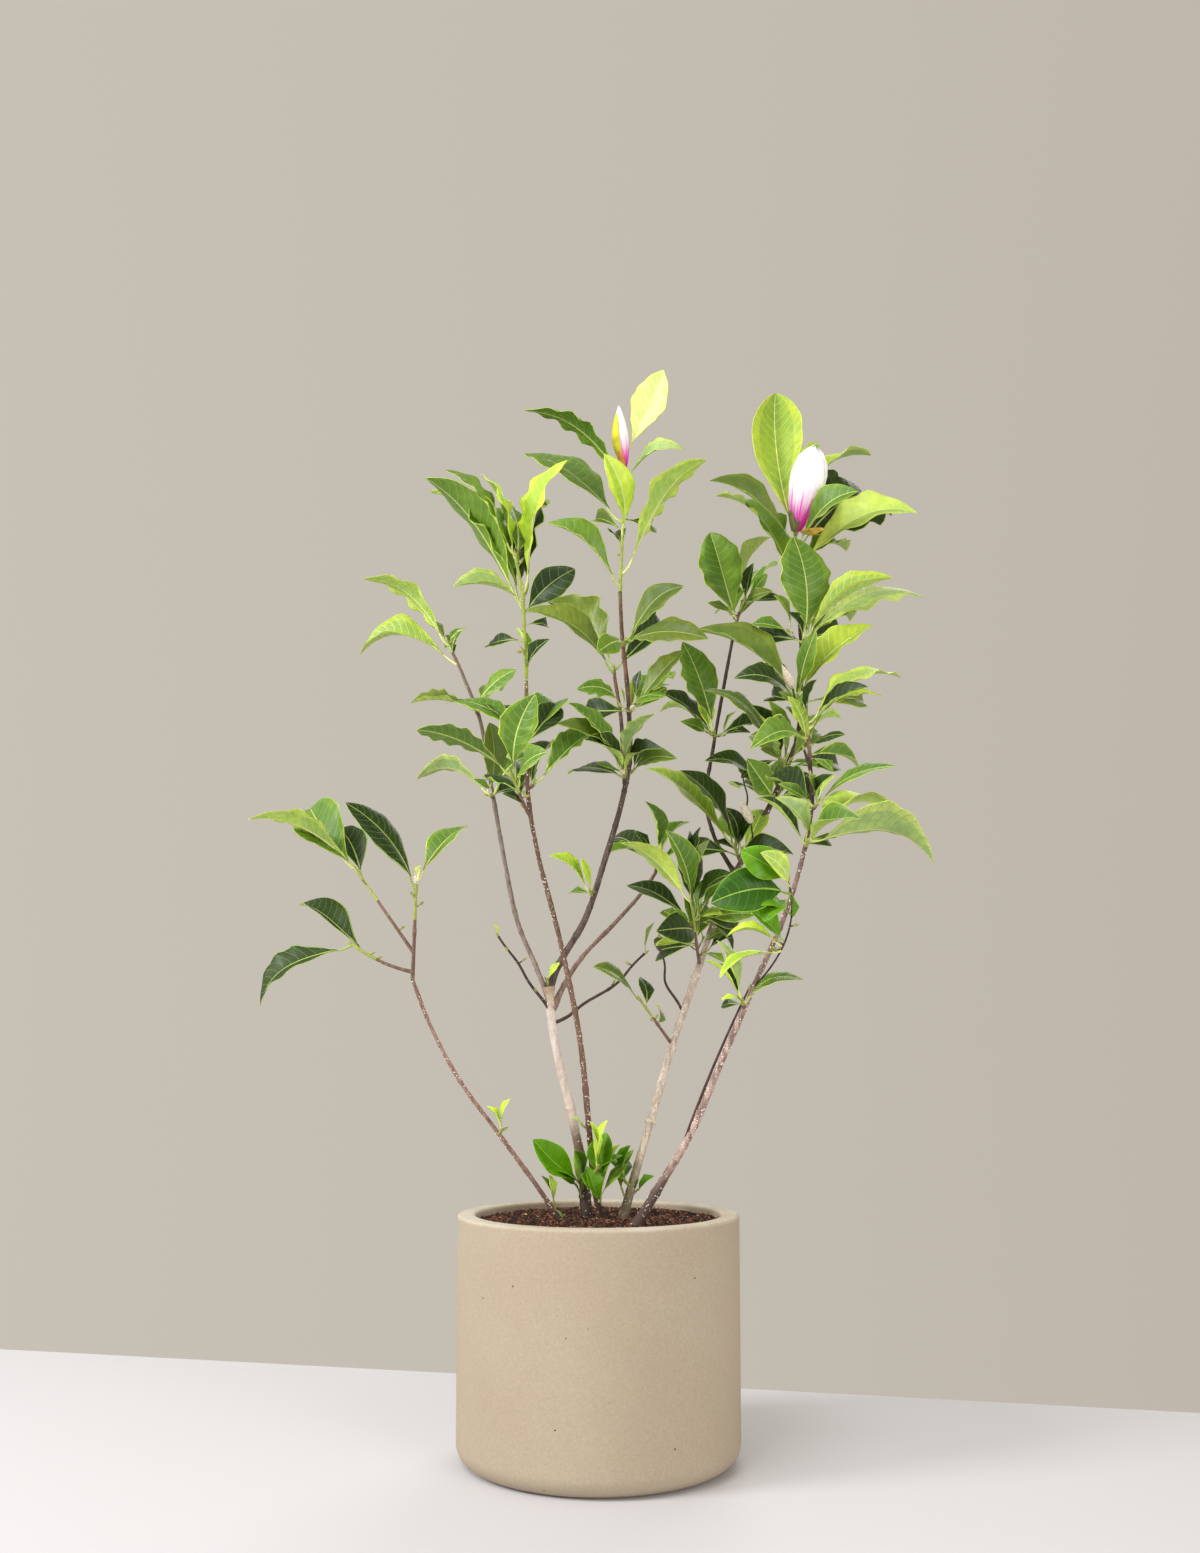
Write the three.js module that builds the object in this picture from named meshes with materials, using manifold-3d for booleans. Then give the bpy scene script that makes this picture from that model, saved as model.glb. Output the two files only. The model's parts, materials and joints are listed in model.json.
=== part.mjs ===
import * as THREE from "three";
import { mergeVertices } from "three/addons/utils/BufferGeometryUtils.js";
import Module from "manifold-3d";

// Potted jane magnolia: a round stone pot, its soil, five stems, their boughs and masses of leaves
// Millimetres, +Z up, origin at the middle of the pot's flat underside, front towards -Y

const wasm = await Module();
wasm.setup();

// Pot and soil
const POT = {
  radius: 150,
  height: 256,
  wall: 19,
  floor: 20,
  footRound: 22,
  lipRound: 3,
  facets: 40,
};
const SOIL_BELOW_RIM = 8;
const CLEARANCE = 0.3;
const SOIL_TOP = POT.height - SOIL_BELOW_RIM;

// Eye that the front elevation is seen from, so that a place further back is also further out
const EYE = { distance: 1506, height: 420 };

// Sides and steps of the round pieces
const LIMB_SIDES = 7;
const LIMB_STEP = 42;
const AXIS_STEP = 10.5;

// Twig: its sides, its radius at either end, the bud past its tip, its step, its bow unless it rises
// steeply, the least space between two leaf roots and the bare length at its foot
const TWIG = {
  sides: 4,
  footRadius: 2.1,
  tipRadius: 1.9,
  bud: 5,
  step: 45,
  sag: 0.06,
  steep: 0.7,
  rootSpace: 4.2,
  bareFoot: 5,
};

// Root flare of a stem: how much wider the foot is, how soon it fades, and the steps it is drawn in
const FLARE = { gain: 0.4, fade: 14, steps: [0, 0.3, 0.5, 0.75] };

// Leaf of this shrub: its width and stalk, its outline as shares of its length and width, the fold
// of its two halves, and the arch of its rib when it stands upright or lies level
const LEAF = {
  width: 0.5,
  stalk: 0.75,
  stalkShare: 0.13,
  stations: [[0.38, 0.9], [0.7, 0.92]],
  smallStations: [[0.52, 1]],
  smallLength: 112,
  fold: 0.22,
  arch: { upright: 0.05, level: 0.13 },
  thickness: 1 / 75,
  leastThickness: 1.2,
};

// A leaf seen shorter than it is leans more out of the elevation
const FULL_LENGTH = { share: 0.6, base: 45, least: 1.02 };

// Leaves dealt by the seeded rule, which point to the front and to the back
const DEALT = {
  seed: 7919,
  shortest: 62,
  longest: 98,
  leastLean: 38,
  mostLean: 68,
  headingSpread: 110,
  oneInFront: 3,
  rootSpace: 3,
  lowest: 0.3,
  turns: [15, 75],
  tries: 14,
  apart: 12,
  apartInMass: 9,
  fromLimb: 7,
};

const GOLDEN_ANGLE = 137.5;
const COLOURS = {
  pot: 0xc1af97,
  soil: 0x3c281e,
  paleBark: 0xb9a491,
  brownBark: 0x7d5c50,
  pinkBark: 0xa08a80,
  darkBark: 0x5c4b45,
  leaf: 0x4d6b33,
  youngLeaf: 0x8aa843,
};

// Stems lean apart in depth as they rise: how much more than their routes say, and over what height
const DEEPER = { gain: 0.6, height: 400 };

const degrees = THREE.MathUtils.degToRad;

// Place given on the front elevation, across and up, with its depth behind the pot's axis
function place(across, up, back) {
  const scale = (EYE.distance + back) / EYE.distance;
  return new THREE.Vector3(across * scale, back, EYE.height + (up - EYE.height) * scale);
}

function deepened([across, up, back]) {
  const rise = THREE.MathUtils.clamp((up - SOIL_TOP) / DEEPER.height, 0, 1);
  return [across, up, back * (1 + DEEPER.gain * rise)];
}

// Small seeded source of even numbers from 0 to 1
function seeded(seed) {
  let state = seed;
  return () => {
    state = (Math.imul(state, 1664525) + 1013904223) >>> 0;
    return state / 4294967296;
  };
}

// Closed skin through rings of points that run anticlockwise about the way they are stacked
function loft(rings) {
  const positions = [];
  const index = [];
  const starts = [];
  for (const ring of rings) {
    starts.push(positions.length / 3);
    ring.forEach((point) => positions.push(point.x, point.y, point.z));
  }
  for (let row = 0; row + 1 < rings.length; row += 1) {
    const count = Math.max(rings[row].length, rings[row + 1].length);
    for (let corner = 0; corner < count; corner += 1) {
      const next = (corner + 1) % count;
      const low = (step) => starts[row] + (rings[row].length === 1 ? 0 : step);
      const high = (step) => starts[row + 1] + (rings[row + 1].length === 1 ? 0 : step);
      if (rings[row].length > 1) {
        index.push(low(corner), low(next), high(next));
      }
      if (rings[row + 1].length > 1) {
        index.push(low(corner), high(next), high(corner));
      }
    }
  }
  const last = rings.length - 1;
  for (let corner = 1; corner + 1 < rings[0].length; corner += 1) {
    index.push(starts[0], starts[0] + corner + 1, starts[0] + corner);
  }
  for (let corner = 1; corner + 1 < rings[last].length; corner += 1) {
    index.push(starts[last], starts[last] + corner, starts[last] + corner + 1);
  }
  const geometry = new THREE.BufferGeometry();
  geometry.setAttribute("position", new THREE.Float32BufferAttribute(positions, 3));
  geometry.setIndex(index);
  return geometry;
}

// Round tapering tube along real points, with flat ends
function taperedTube(points, radii, sides) {
  const rings = [];
  const across = new THREE.Vector3(1, 0, 0);
  points.forEach((point, row) => {
    const before = points[Math.max(row - 1, 0)];
    const after = points[Math.min(row + 1, points.length - 1)];
    const along = new THREE.Vector3().subVectors(after, before).normalize();
    across.addScaledVector(along, -across.dot(along)).normalize();
    const side = new THREE.Vector3().crossVectors(along, across);
    const ring = [];
    for (let corner = 0; corner < sides; corner += 1) {
      const turn = (2 * Math.PI * corner) / sides;
      const spoke = across.clone().multiplyScalar(Math.cos(turn)).addScaledVector(side, Math.sin(turn));
      ring.push(point.clone().addScaledVector(spoke, radii[row]));
    }
    rings.push(ring);
  });
  return loft(rings);
}

function toSolid(geometry) {
  const bare = new THREE.BufferGeometry();
  bare.setAttribute("position", geometry.getAttribute("position"));
  bare.setIndex(geometry.index);
  const merged = mergeVertices(bare, 1e-4);
  return new wasm.Manifold(new wasm.Mesh({
    numProp: 3,
    vertProperties: new Float32Array(merged.getAttribute("position").array),
    triVerts: new Uint32Array(merged.index.array),
  }));
}

function toGeometry(solid) {
  const mesh = solid.getMesh();
  const geometry = new THREE.BufferGeometry();
  geometry.setAttribute("position", new THREE.Float32BufferAttribute(mesh.vertProperties, 3));
  geometry.setIndex(new THREE.Uint32BufferAttribute(mesh.triVerts, 1));
  geometry.computeVertexNormals();
  return geometry;
}

// Largest whole piece of a solid, with any sealed hollow filled
function wholePiece(solid) {
  return solid.decompose().reduce((best, piece) => (piece.volume() > best.volume() ? piece : best));
}

const plant = new THREE.Group();

function addMesh(name, geometry, colour, roughness) {
  const material = new THREE.MeshStandardMaterial({ color: colour, roughness, metalness: 0 });
  const mesh = new THREE.Mesh(geometry, material);
  mesh.name = name;
  plant.add(mesh);
}

// Quarter turn of a rounded edge, as profile points
function edgeArc(centreAcross, centreUp, radius, from, to, steps) {
  const points = [];
  for (let step = 0; step <= steps; step += 1) {
    const turn = degrees(from + ((to - from) * step) / steps);
    points.push([centreAcross + radius * Math.cos(turn), centreUp + radius * Math.sin(turn)]);
  }
  return points;
}

function turned(profile) {
  const points = profile.map(([across, up]) => new THREE.Vector2(across, up));
  return new THREE.LatheGeometry(points, POT.facets).rotateX(Math.PI / 2);
}

// Pot: straight round wall on a rounded foot, with a softened lip
const innerRadius = POT.radius - POT.wall;
addMesh("pot", turned([
  [0, 0],
  ...edgeArc(POT.radius - POT.footRound, POT.footRound, POT.footRound, -90, 0, 5),
  ...edgeArc(POT.radius - POT.lipRound, POT.height - POT.lipRound, POT.lipRound, 0, 90, 2),
  ...edgeArc(innerRadius + POT.lipRound, POT.height - POT.lipRound, POT.lipRound, 90, 180, 2),
  [innerRadius, POT.floor],
  [0, POT.floor],
]), COLOURS.pot, 0.8);

// Soil: fills the pot to just under its lip
const soilRadius = innerRadius - CLEARANCE;
addMesh("soil", turned([
  [0, POT.floor + CLEARANCE],
  [soilRadius, POT.floor + CLEARANCE],
  [soilRadius, SOIL_TOP],
  [0, SOIL_TOP],
]), COLOURS.soil, 0.95);

// Ground: everything lower than the flat cut of the stems
const groundTop = SOIL_TOP + CLEARANCE;
const ground = toSolid(
  new THREE.BoxGeometry(2 * POT.radius, 2 * POT.radius, POT.height)
    .translate(0, 0, groundTop - POT.height / 2),
);

// Stems and boughs: foot to tip as across, up and back, with the radius at either end
const LIMBS = {
  stem_slender: {
    bark: "brownBark",
    radii: [4.2, 2.2],
    route: [[-34, 236, 27], [-63, 280, 12], [-106, 338, -4], [-150, 397, -24], [-184, 460, -46],
      [-202, 506, -62]],
  },
  stem_pale: {
    bark: "paleBark",
    radii: [7.2, 5.2],
    route: [[-12, 236, 36], [-17, 300, 37], [-30, 365, 36], [-48, 444, 31], [-54, 498, 28]],
  },
  stem_brown: {
    bark: "brownBark",
    radii: [4.3, 2.1],
    route: [[5, 236, 16], [-5, 291, 9], [-11, 354, 0], [-20, 440, -8], [-42, 549, -14], [-66, 642, -30],
      [-77, 705, -42], [-79, 780, -56], [-80, 840, -68]],
  },
  stem_tall: {
    bark: "paleBark",
    radii: [5.6, 2.6],
    route: [[22, 236, 25], [39, 296, 26], [55, 349, 30], [80, 435, 40], [110, 522, 50], [135, 593, 55],
      [160, 642, 58], [194, 709, 62], [219, 768, 66]],
  },
  stem_front: {
    bark: "pinkBark",
    radii: [7, 2.2],
    route: [[37, 236, -52], [66, 285, -55], [98, 338, -60], [131, 413, -68], [167, 495, -72], [203, 576, -66],
      [224, 642, -55], [235, 703, -42], [233, 745, -32]],
  },
  bough_left: {
    bark: "brownBark",
    parent: "stem_pale",
    radii: [2.9, 2],
    route: [[-51, 478, 29], [-68, 520, 36], [-88, 568, 46], [-103, 637, 62], [-118, 720, 76], [-131, 793, 85],
      [-152, 848, 91]],
  },
  bough_top: {
    bark: "darkBark",
    parent: "stem_pale",
    radii: [3.8, 2.1],
    route: [[-54, 498, 28], [-40, 528, 25], [-15, 571, 19], [7, 637, 10], [26, 703, 2], [34, 748, 0],
      [33, 815, 5], [26, 890, 10], [24, 938, 12]],
  },
  bough_right: {
    bark: "brownBark",
    parent: "stem_pale",
    radii: [3, 2],
    route: [[-50, 474, 29], [-34, 506, 37], [-18, 530, 42], [21, 571, 50], [49, 603, 56], [62, 622, 58]],
  },
  bough_dark: {
    bark: "darkBark",
    parent: "bough_top",
    radii: [2.3, 2],
    route: [[30, 722, 1], [27, 750, 14], [25, 793, 26], [18, 840, 36]],
  },
  bough_back: {
    bark: "darkBark",
    parent: "stem_tall",
    radii: [2.4, 2],
    route: [[149, 622, 57], [128, 660, 78], [118, 703, 96], [127, 765, 112], [138, 827, 122],
      [151, 896, 130]],
  },
  bough_crown: {
    bark: "darkBark",
    parent: "stem_tall",
    radii: [2.5, 2.1],
    route: [[219, 768, 66], [223, 800, 66], [225, 872, 60], [221, 938, 50]],
  },
};

const limbs = {};

// Curve on the elevation, and its real points from foot to tip
function followRoute(route, step) {
  const corners = route.map((corner) => new THREE.Vector3(...deepened(corner)));
  const curve = new THREE.CatmullRomCurve3(corners, false, "centripetal");
  const count = Math.max(2, Math.round(curve.getLength() / step));
  const seen = curve.getSpacedPoints(count);
  return { seen, points: seen.map((spot) => place(spot.x, spot.y, spot.z)) };
}

// Radius along a limb, falling evenly to its tip, with a flare where it leaves the ground
function limbRadii(points, [foot, tip], flared, extra) {
  return points.map((point, row) => {
    const plain = foot + ((tip - foot) * row) / (points.length - 1);
    const rise = Math.max(0, point.z - SOIL_TOP);
    const flare = flared ? 1 + FLARE.gain * Math.exp(-rise / FLARE.fade) : 1;
    return plain * flare + extra;
  });
}

// First stretch of a stem is stepped finely so that its flare is round
function withFootSteps(points) {
  const foot = points[0];
  const next = points[1];
  return [...FLARE.steps.map((share) => foot.clone().lerp(next, share)), ...points.slice(1)];
}

function makeLimb(name, { bark, parent, radii, route }) {
  const followed = followRoute(route, LIMB_STEP);
  const flared = parent === undefined;
  const points = flared ? withFootSteps(followed.points) : followed.points;
  const sleeve = (extra) => toSolid(taperedTube(points, limbRadii(points, radii, flared, extra), LIMB_SIDES));
  const body = sleeve(0).subtract(flared ? ground : limbs[parent].clear);
  const beyond = new THREE.Vector3().subVectors(points.at(-1), points.at(-2)).setLength(CLEARANCE);
  points.at(-1).add(beyond);
  const axis = followRoute(route, AXIS_STEP);
  limbs[name] = { body: wholePiece(body), clear: sleeve(CLEARANCE), axis, radii };
  addMesh(name, toGeometry(limbs[name].body), COLOURS[bark], 0.75);
}

Object.entries(LIMBS).forEach(([name, limb]) => makeLimb(name, limb));

// Masses of foliage. Each has one stem, from a height on its limb or from the limb's tip, to a place
// given as across, up and back. Side twigs leave it at a share of its length.
// A leaf is: share along its twig, heading and length on the elevation, turn of its face to the eye
// (90 shows its top, below 0 its underside), lean towards the front where the rule's own doesn't suit.
const MASSES = {
  foliage_low_left: {
    limb: "stem_slender",
    dealt: 5,
    to: [-199, 613, -92],
    leaves: [[0.92, 129, 125, 35, 20], [1, 48, 82, 35, -30], [0.95, 80, 45, 30, 35]],
    twigs: [
      { share: 0.08, to: [-268, 544, -62], leaves: [[1, -146, 119, 25, -10], [0.7, 145, 96, 35, -25]] },
      {
        share: 0.28,
        to: [-265, 626, -50],
        leaves: [[1, 155, 132, -30, -10], [1, 127, 89, 85, 25], [0.9, 118, 60, 70, -40]],
      },
    ],
  },
  foliage_left_top: {
    limb: "bough_left",
    dealt: 4,
    to: [-168, 882, 97],
    leaves: [[0.95, 142, 125, -25], [0.2, 174, 110, 30, -20], [1, 135, 35, 25, -30], [1, 41, 25, 20, 30]],
  },
  foliage_third_top: {
    limb: "stem_brown",
    dealt: 6,
    to: [-84, 940, -92],
    leaves: [[0.83, 127, 184, -27, 12], [0.77, 128, 172, 25, -14], [0.97, 72, 161, 15, 10],
      [0.97, 75, 112, 22, -25], [0.97, 168, 80, 25, 30], [0.75, 43, 77, 85, 15], [0.22, 108, 36, 30, -30],
      [0.08, 54, 45, 40, 35]],
    twigs: [
      {
        share: 0.9,
        to: [-93, 980, -98],
        leaves: [[1, 129, 126, 12, 20], [0.95, 112, 106, 8, 0], [0.9, 100, 73, 42, -40]],
      },
    ],
  },
  foliage_left_upper: {
    limb: "bough_left",
    height: 800,
    dealt: 2,
    to: [-137, 808, 68],
    leaves: [[1, 42, 62, 40, 15], [0.9, 175, 72, 18, 20], [1, 172, 32, 20, -30]],
  },
  foliage_left_middle: {
    limb: "bough_left",
    height: 706,
    dealt: 3,
    to: [-119, 712, 60],
    leaves: [[1, 91, 78, 56, 20], [0.8, 169, 85, -22, -20], [0.9, 140, 25, 50, 40]],
  },
  foliage_third_left: {
    limb: "stem_brown",
    height: 684,
    dealt: 3,
    to: [-96, 735, -62],
    leaves: [[0.9, 154, 119, -22, 25], [0.85, 77, 99, 67, 25], [0.2, 149, 32, 34, 30]],
  },
  foliage_third_upper: {
    limb: "stem_brown",
    height: 762,
    dealt: 2,
    to: [-84, 768, -40],
    leaves: [[1, 149, 88, 30, -25], [1, 145, 62, 26, -45]],
  },
  foliage_third_right: {
    limb: "stem_brown",
    height: 716,
    dealt: 3,
    to: [-70, 722, -34],
    leaves: [[1, 41, 86, 38, -15], [0.9, 53, 56, 33, -45], [0.9, 111, 35, 25, -40]],
  },
  foliage_top: {
    limb: "bough_top",
    dealt: 7,
    to: [31, 1096, 20],
    leaves: [[0.04, 139, 110, 32], [0.12, 54, 165, -21, 15], [0.4, 102, 98, 50, 30], [0.5, 144, 135, 20, -30],
      [0.8, 144, 141, -20, 15], [0.84, 25, 73, 24, 30], [1, 67, 108, 77, 10]],
    flowers: [{ share: 0.86, heading: 95, length: 80, radius: 9, lean: 10 }],
  },
  foliage_dark_top: {
    limb: "bough_dark",
    dealt: 3,
    to: [17, 852, 42],
    leaves: [[1, 135, 107, -33, -20], [0.4, 146, 126, 34, 5]],
  },
  foliage_middle_top: {
    limb: "bough_top",
    height: 876,
    dealt: 3,
    to: [30, 882, -14],
    leaves: [[1, 44, 90, 37, 20], [0.9, 2, 92, 37, 35]],
  },
  foliage_middle_right: {
    limb: "bough_top",
    height: 802,
    dealt: 2,
    to: [37, 806, -10],
    leaves: [[1, 48, 88, 38, 15], [0.9, 20, 40, 30, 40]],
  },
  foliage_fork: {
    limb: "bough_top",
    height: 728,
    dealt: 3,
    to: [27, 734, -22],
    leaves: [[1, 128, 99, 23, 25], [0.9, 143, 93, 20, 32], [0.8, 139, 59, 25, 50], [0.7, 157, 34, 17, 30],
      [1, 62, 76, -32, 30], [0.7, 37, 51, 18, 45]],
  },
  foliage_crown: {
    limb: "bough_crown",
    dealt: 6,
    to: [220, 1009, 44],
    leaves: [[0.92, 97, 168, 60, -14], [0.85, 144, 118, 27, 15], [0.15, 132, 134, 20, -20],
      [1, 45, 122, 18, -25], [1, 74, 107, 10, -30], [0.8, 41, 94, 32, 35], [0.65, 30, 108, 44, -35],
      [0.45, 23, 149, 32, 10]],
    flowers: [{ share: 0.9, heading: 78, length: 108, radius: 18, lean: 22 }],
  },
  foliage_crown_middle: {
    limb: "bough_crown",
    height: 880,
    dealt: 4,
    to: [228, 884, 34],
    leaves: [[1, 95, 117, 57, 12], [0.9, 119, 36, 35, 40], [1, 35, 123, 22, 20], [0.8, 20, 144, 22, -10]],
  },
  foliage_crown_low: {
    limb: "bough_crown",
    height: 812,
    dealt: 4,
    to: [221, 820, 36],
    leaves: [[1, 148, 138, 26, -22], [1, 44, 116, 50, 15], [0.9, 75, 78, 40, 30], [0.8, 163, 75, 30, 30]],
  },
  foliage_back_top: {
    limb: "bough_back",
    dealt: 5,
    to: [160, 926, 136],
    leaves: [[0.3, 106, 105, 80, 15], [1, 67, 81, -21, -30], [1, 49, 60, 17, -45]],
  },
  foliage_back_middle: {
    limb: "bough_back",
    height: 770,
    dealt: 4,
    to: [128, 780, 100],
    leaves: [[1, 109, 107, 59, 10], [1, 143, 75, 21, 35], [0.8, 155, 66, 20, -35], [1, -3, 65, 23, -30]],
  },
  foliage_tall_upper: {
    limb: "stem_tall",
    height: 738,
    dealt: 3,
    to: [203, 746, 44],
    leaves: [[1, 138, 120, 19, 5], [0.9, 118, 73, 29, 35], [0.9, 103, 72, 19, 45]],
  },
  foliage_tall_middle: {
    limb: "stem_tall",
    height: 700,
    dealt: 3,
    to: [194, 706, 42],
    leaves: [[1, 152, 87, 17, 25], [1, 124, 54, 60, 45], [0.9, 28, 52, 29, 30], [0.9, -9, 46, 15, 35]],
  },
  foliage_front_top: {
    limb: "stem_front",
    dealt: 4,
    to: [231, 793, -16],
    leaves: [[0.97, 77, 48, 27, 45], [0.96, 27, 116, 18, -20], [0.9, 34, 81, 18, 35], [0.8, 25, 93, 16, 10],
      [0.5, 36, 44, 20, -45], [0.35, 20, 42, 20, 45], [0.2, -17, 56, 33, -35], [0.15, -33, 30, 34, 40]],
  },
  foliage_front_upper: {
    limb: "stem_front",
    height: 694,
    dealt: 2,
    to: [240, 698, -56],
    leaves: [[1, 26, 98, 18, 15], [0.9, 60, 40, 30, 45]],
  },
  foliage_front_right: {
    limb: "stem_front",
    height: 650,
    dealt: 4,
    to: [229, 658, -74],
    leaves: [[1, -10, 140, -24, 10], [0.9, 19, 103, 18, -25], [0.7, 25, 67, 20, 45], [1, 125, 60, 48, 30],
      [0.9, 137, 74, 22, -15]],
  },
  foliage_tall_low: {
    limb: "stem_tall",
    height: 634,
    dealt: 3,
    to: [150, 652, 32],
    leaves: [[1, 139, 133, 26, -12], [0.9, 125, 107, 20, 22], [1, 104, 46, 42, 45], [0.9, 62, 44, 43, 40]],
  },
  foliage_inner: {
    limb: "stem_tall",
    height: 522,
    dealt: 4,
    to: [102, 590, 4],
    leaves: [[1, 140, 102, -30, 10], [0.9, 151, 84, 34, -20], [1, 109, 88, 40, 30], [1, 92, 87, 30, -25],
      [1, 77, 83, 25, 15], [0.95, 49, 66, 22, 40], [1, 85, 99, 25, -10]],
  },
  foliage_right_bough: {
    limb: "bough_right",
    dealt: 3,
    to: [67, 642, 62],
    leaves: [[1, 105, 62, 35, 20], [1, 50, 52, 30, -30]],
  },
  foliage_front_low: {
    limb: "stem_front",
    height: 497,
    dealt: 4,
    young: true,
    to: [207, 614, -112],
    leaves: [[1, 147, 61, 80, 20], [0.95, 129, 48, 45, -40], [0.9, -173, 86, 75, 15],
      [0.85, -157, 29, 44, 40], [0.7, 167, 50, 32, 35], [0.45, 137, 48, 40, 25], [0.4, 170, 61, 22, 0],
      [0.36, -155, 73, 20, 25], [0.93, -84, 30, 27, -35]],
  },
  foliage_front_foot: {
    limb: "stem_front",
    height: 476,
    dealt: 2,
    to: [156, 484, -90],
    leaves: [[1, 113, 70, 22, -20], [1, 133, 60, 15, -15], [0.9, 21, 70, 21, 20], [1, 175, 24, 20, 30]],
  },
  foliage_tall_foot: {
    limb: "stem_tall",
    height: 435,
    dealt: 2,
    to: [45, 484, 22],
    leaves: [[1, 145, 62, 20, 35]],
  },
  twig_pale_left: {
    limb: "stem_pale",
    height: 470,
    dealt: 0,
    to: [-109, 553, 8],
    leaves: [[1, 115, 14, 40, 10]],
  },
  twig_pale_right: {
    limb: "stem_pale",
    height: 458,
    dealt: 1,
    to: [50, 534, 20],
    leaves: [[1, 72, 36, 20, 20]],
  },
  foliage_bough_foot: {
    limb: "bough_top",
    height: 596,
    dealt: 2,
    to: [-9, 602, 2],
    leaves: [[1, 139, 60, 24, 20], [1, 106, 40, 29, 30]],
  },
  foliage_foot_left: {
    limb: "stem_pale",
    height: 280,
    dealt: 2,
    to: [-20, 288, 22],
    leaves: [[1, 138, 68, 77, 15], [0.9, 102, 36, 30, 30], [0.8, 150, 34, 17, 40]],
  },
  foliage_foot_middle: {
    limb: "stem_brown",
    height: 296,
    dealt: 2,
    young: true,
    to: [-1, 304, -2],
    leaves: [[1, 100, 50, 19, 10], [1, 77, 54, 19, 25], [0.8, 30, 34, 20, 20]],
  },
  foliage_foot_tall: {
    limb: "stem_tall",
    height: 284,
    dealt: 1,
    to: [28, 290, 16],
    leaves: [[1, 80, 38, 25, 20]],
  },
  foliage_foot_slender: {
    limb: "stem_slender",
    height: 340,
    dealt: 1,
    young: true,
    to: [-104, 344, -14],
    leaves: [[1, 123, 30, 15, 20], [1, 73, 36, 15, 30]],
  },
};

// Points that growing leaves keep away from, each with the name of its limb or mass and its reach
const taken = [];

// Places on a leaf that stand for it there: share of its length and of its half width
const SPOTS_PER_LEAF = [[0.35, 0.6], [0.6, 1], [0.85, 0.5]];

function limbSpots() {
  Object.entries(limbs).forEach(([name, limb]) => {
    limb.axis.points.forEach((point) => taken.push({ owner: name, point, reach: DEALT.fromLimb }));
  });
}

// Twig from a real point to a real point, bowed a little so that it rises at its tip
function makeTwig(from, to, footRadius) {
  const length = from.distanceTo(to);
  const steps = Math.max(1, Math.round(length / TWIG.step));
  const steep = Math.abs(to.z - from.z) > TWIG.steep * length;
  const sag = steep ? 0 : TWIG.sag * length;
  const points = [];
  const radii = [];
  for (let step = 0; step <= steps; step += 1) {
    const share = step / steps;
    const point = from.clone().lerp(to, share);
    point.z -= sag * 4 * share * (1 - share);
    points.push(point);
    radii.push(footRadius + (TWIG.tipRadius - footRadius) * share);
  }
  const onward = new THREE.Vector3().subVectors(points.at(-1), points.at(-2)).setLength(TWIG.bud);
  const whole = [...points, onward.add(points.at(-1))];
  return { points, solid: toSolid(taperedTube(whole, [...radii, TWIG.tipRadius / 2], TWIG.sides)) };
}

function twigPoint(points, share) {
  const spot = share * (points.length - 1);
  const row = Math.min(Math.floor(spot), points.length - 2);
  return points[row].clone().lerp(points[row + 1], spot - row);
}

// Distances of the leaf roots along a twig, pushed apart towards its foot and, where that is too
// near, out again past its tip
function spacedRoots(leaves, length) {
  const order = leaves.map((row, index) => index).sort((a, b) => leaves[b][0] - leaves[a][0]);
  const roots = [];
  let limit = Infinity;
  order.forEach((index) => {
    roots[index] = Math.min(leaves[index][0] * length, limit);
    limit = roots[index] - TWIG.rootSpace;
  });
  const lift = Math.max(0, TWIG.bareFoot - Math.min(...roots));
  return roots.map((root) => root + lift);
}

// Where a real point is seen on the elevation, with its depth
function seenFrom(point) {
  const scale = (EYE.distance + point.y) / EYE.distance;
  return [point.x / scale, EYE.height + (point.z - EYE.height) / scale, point.y];
}

function ownLean(length, index) {
  const full = Math.max(length * FULL_LENGTH.least, length * FULL_LENGTH.share + FULL_LENGTH.base);
  const size = THREE.MathUtils.radToDeg(Math.acos(length / full));
  return Math.cos(degrees(index * GOLDEN_ANGLE)) >= 0 ? size : -size;
}

// Frame of a leaf: its root, its tip, the way its top faces and its side
function leafFrame(root, [, heading, length, turn, lean], index) {
  const [across, up, back] = seenFrom(root);
  const towards = lean === undefined ? ownLean(length, index) : lean;
  const tip = place(
    across + length * Math.cos(degrees(heading)),
    up + length * Math.sin(degrees(heading)),
    back - length * Math.tan(degrees(towards)),
  );
  const along = new THREE.Vector3().subVectors(tip, root);
  const size = along.length();
  along.normalize();
  const facing = new THREE.Vector3(0, -EYE.distance, EYE.height).sub(root).normalize();
  facing.addScaledVector(along, -facing.dot(along)).normalize();
  const upper = new THREE.Vector3().crossVectors(along, facing);
  if (Math.cos(degrees(heading)) > 0) {
    upper.negate();
  }
  const top = upper.multiplyScalar(Math.cos(degrees(turn))).addScaledVector(facing, Math.sin(degrees(turn)));
  const side = new THREE.Vector3().crossVectors(top, along);
  const level = Math.abs(Math.cos(degrees(heading)));
  const arch = LEAF.arch.upright + (LEAF.arch.level - LEAF.arch.upright) * level;
  return { root, along, top, side, size, arch };
}

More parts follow.
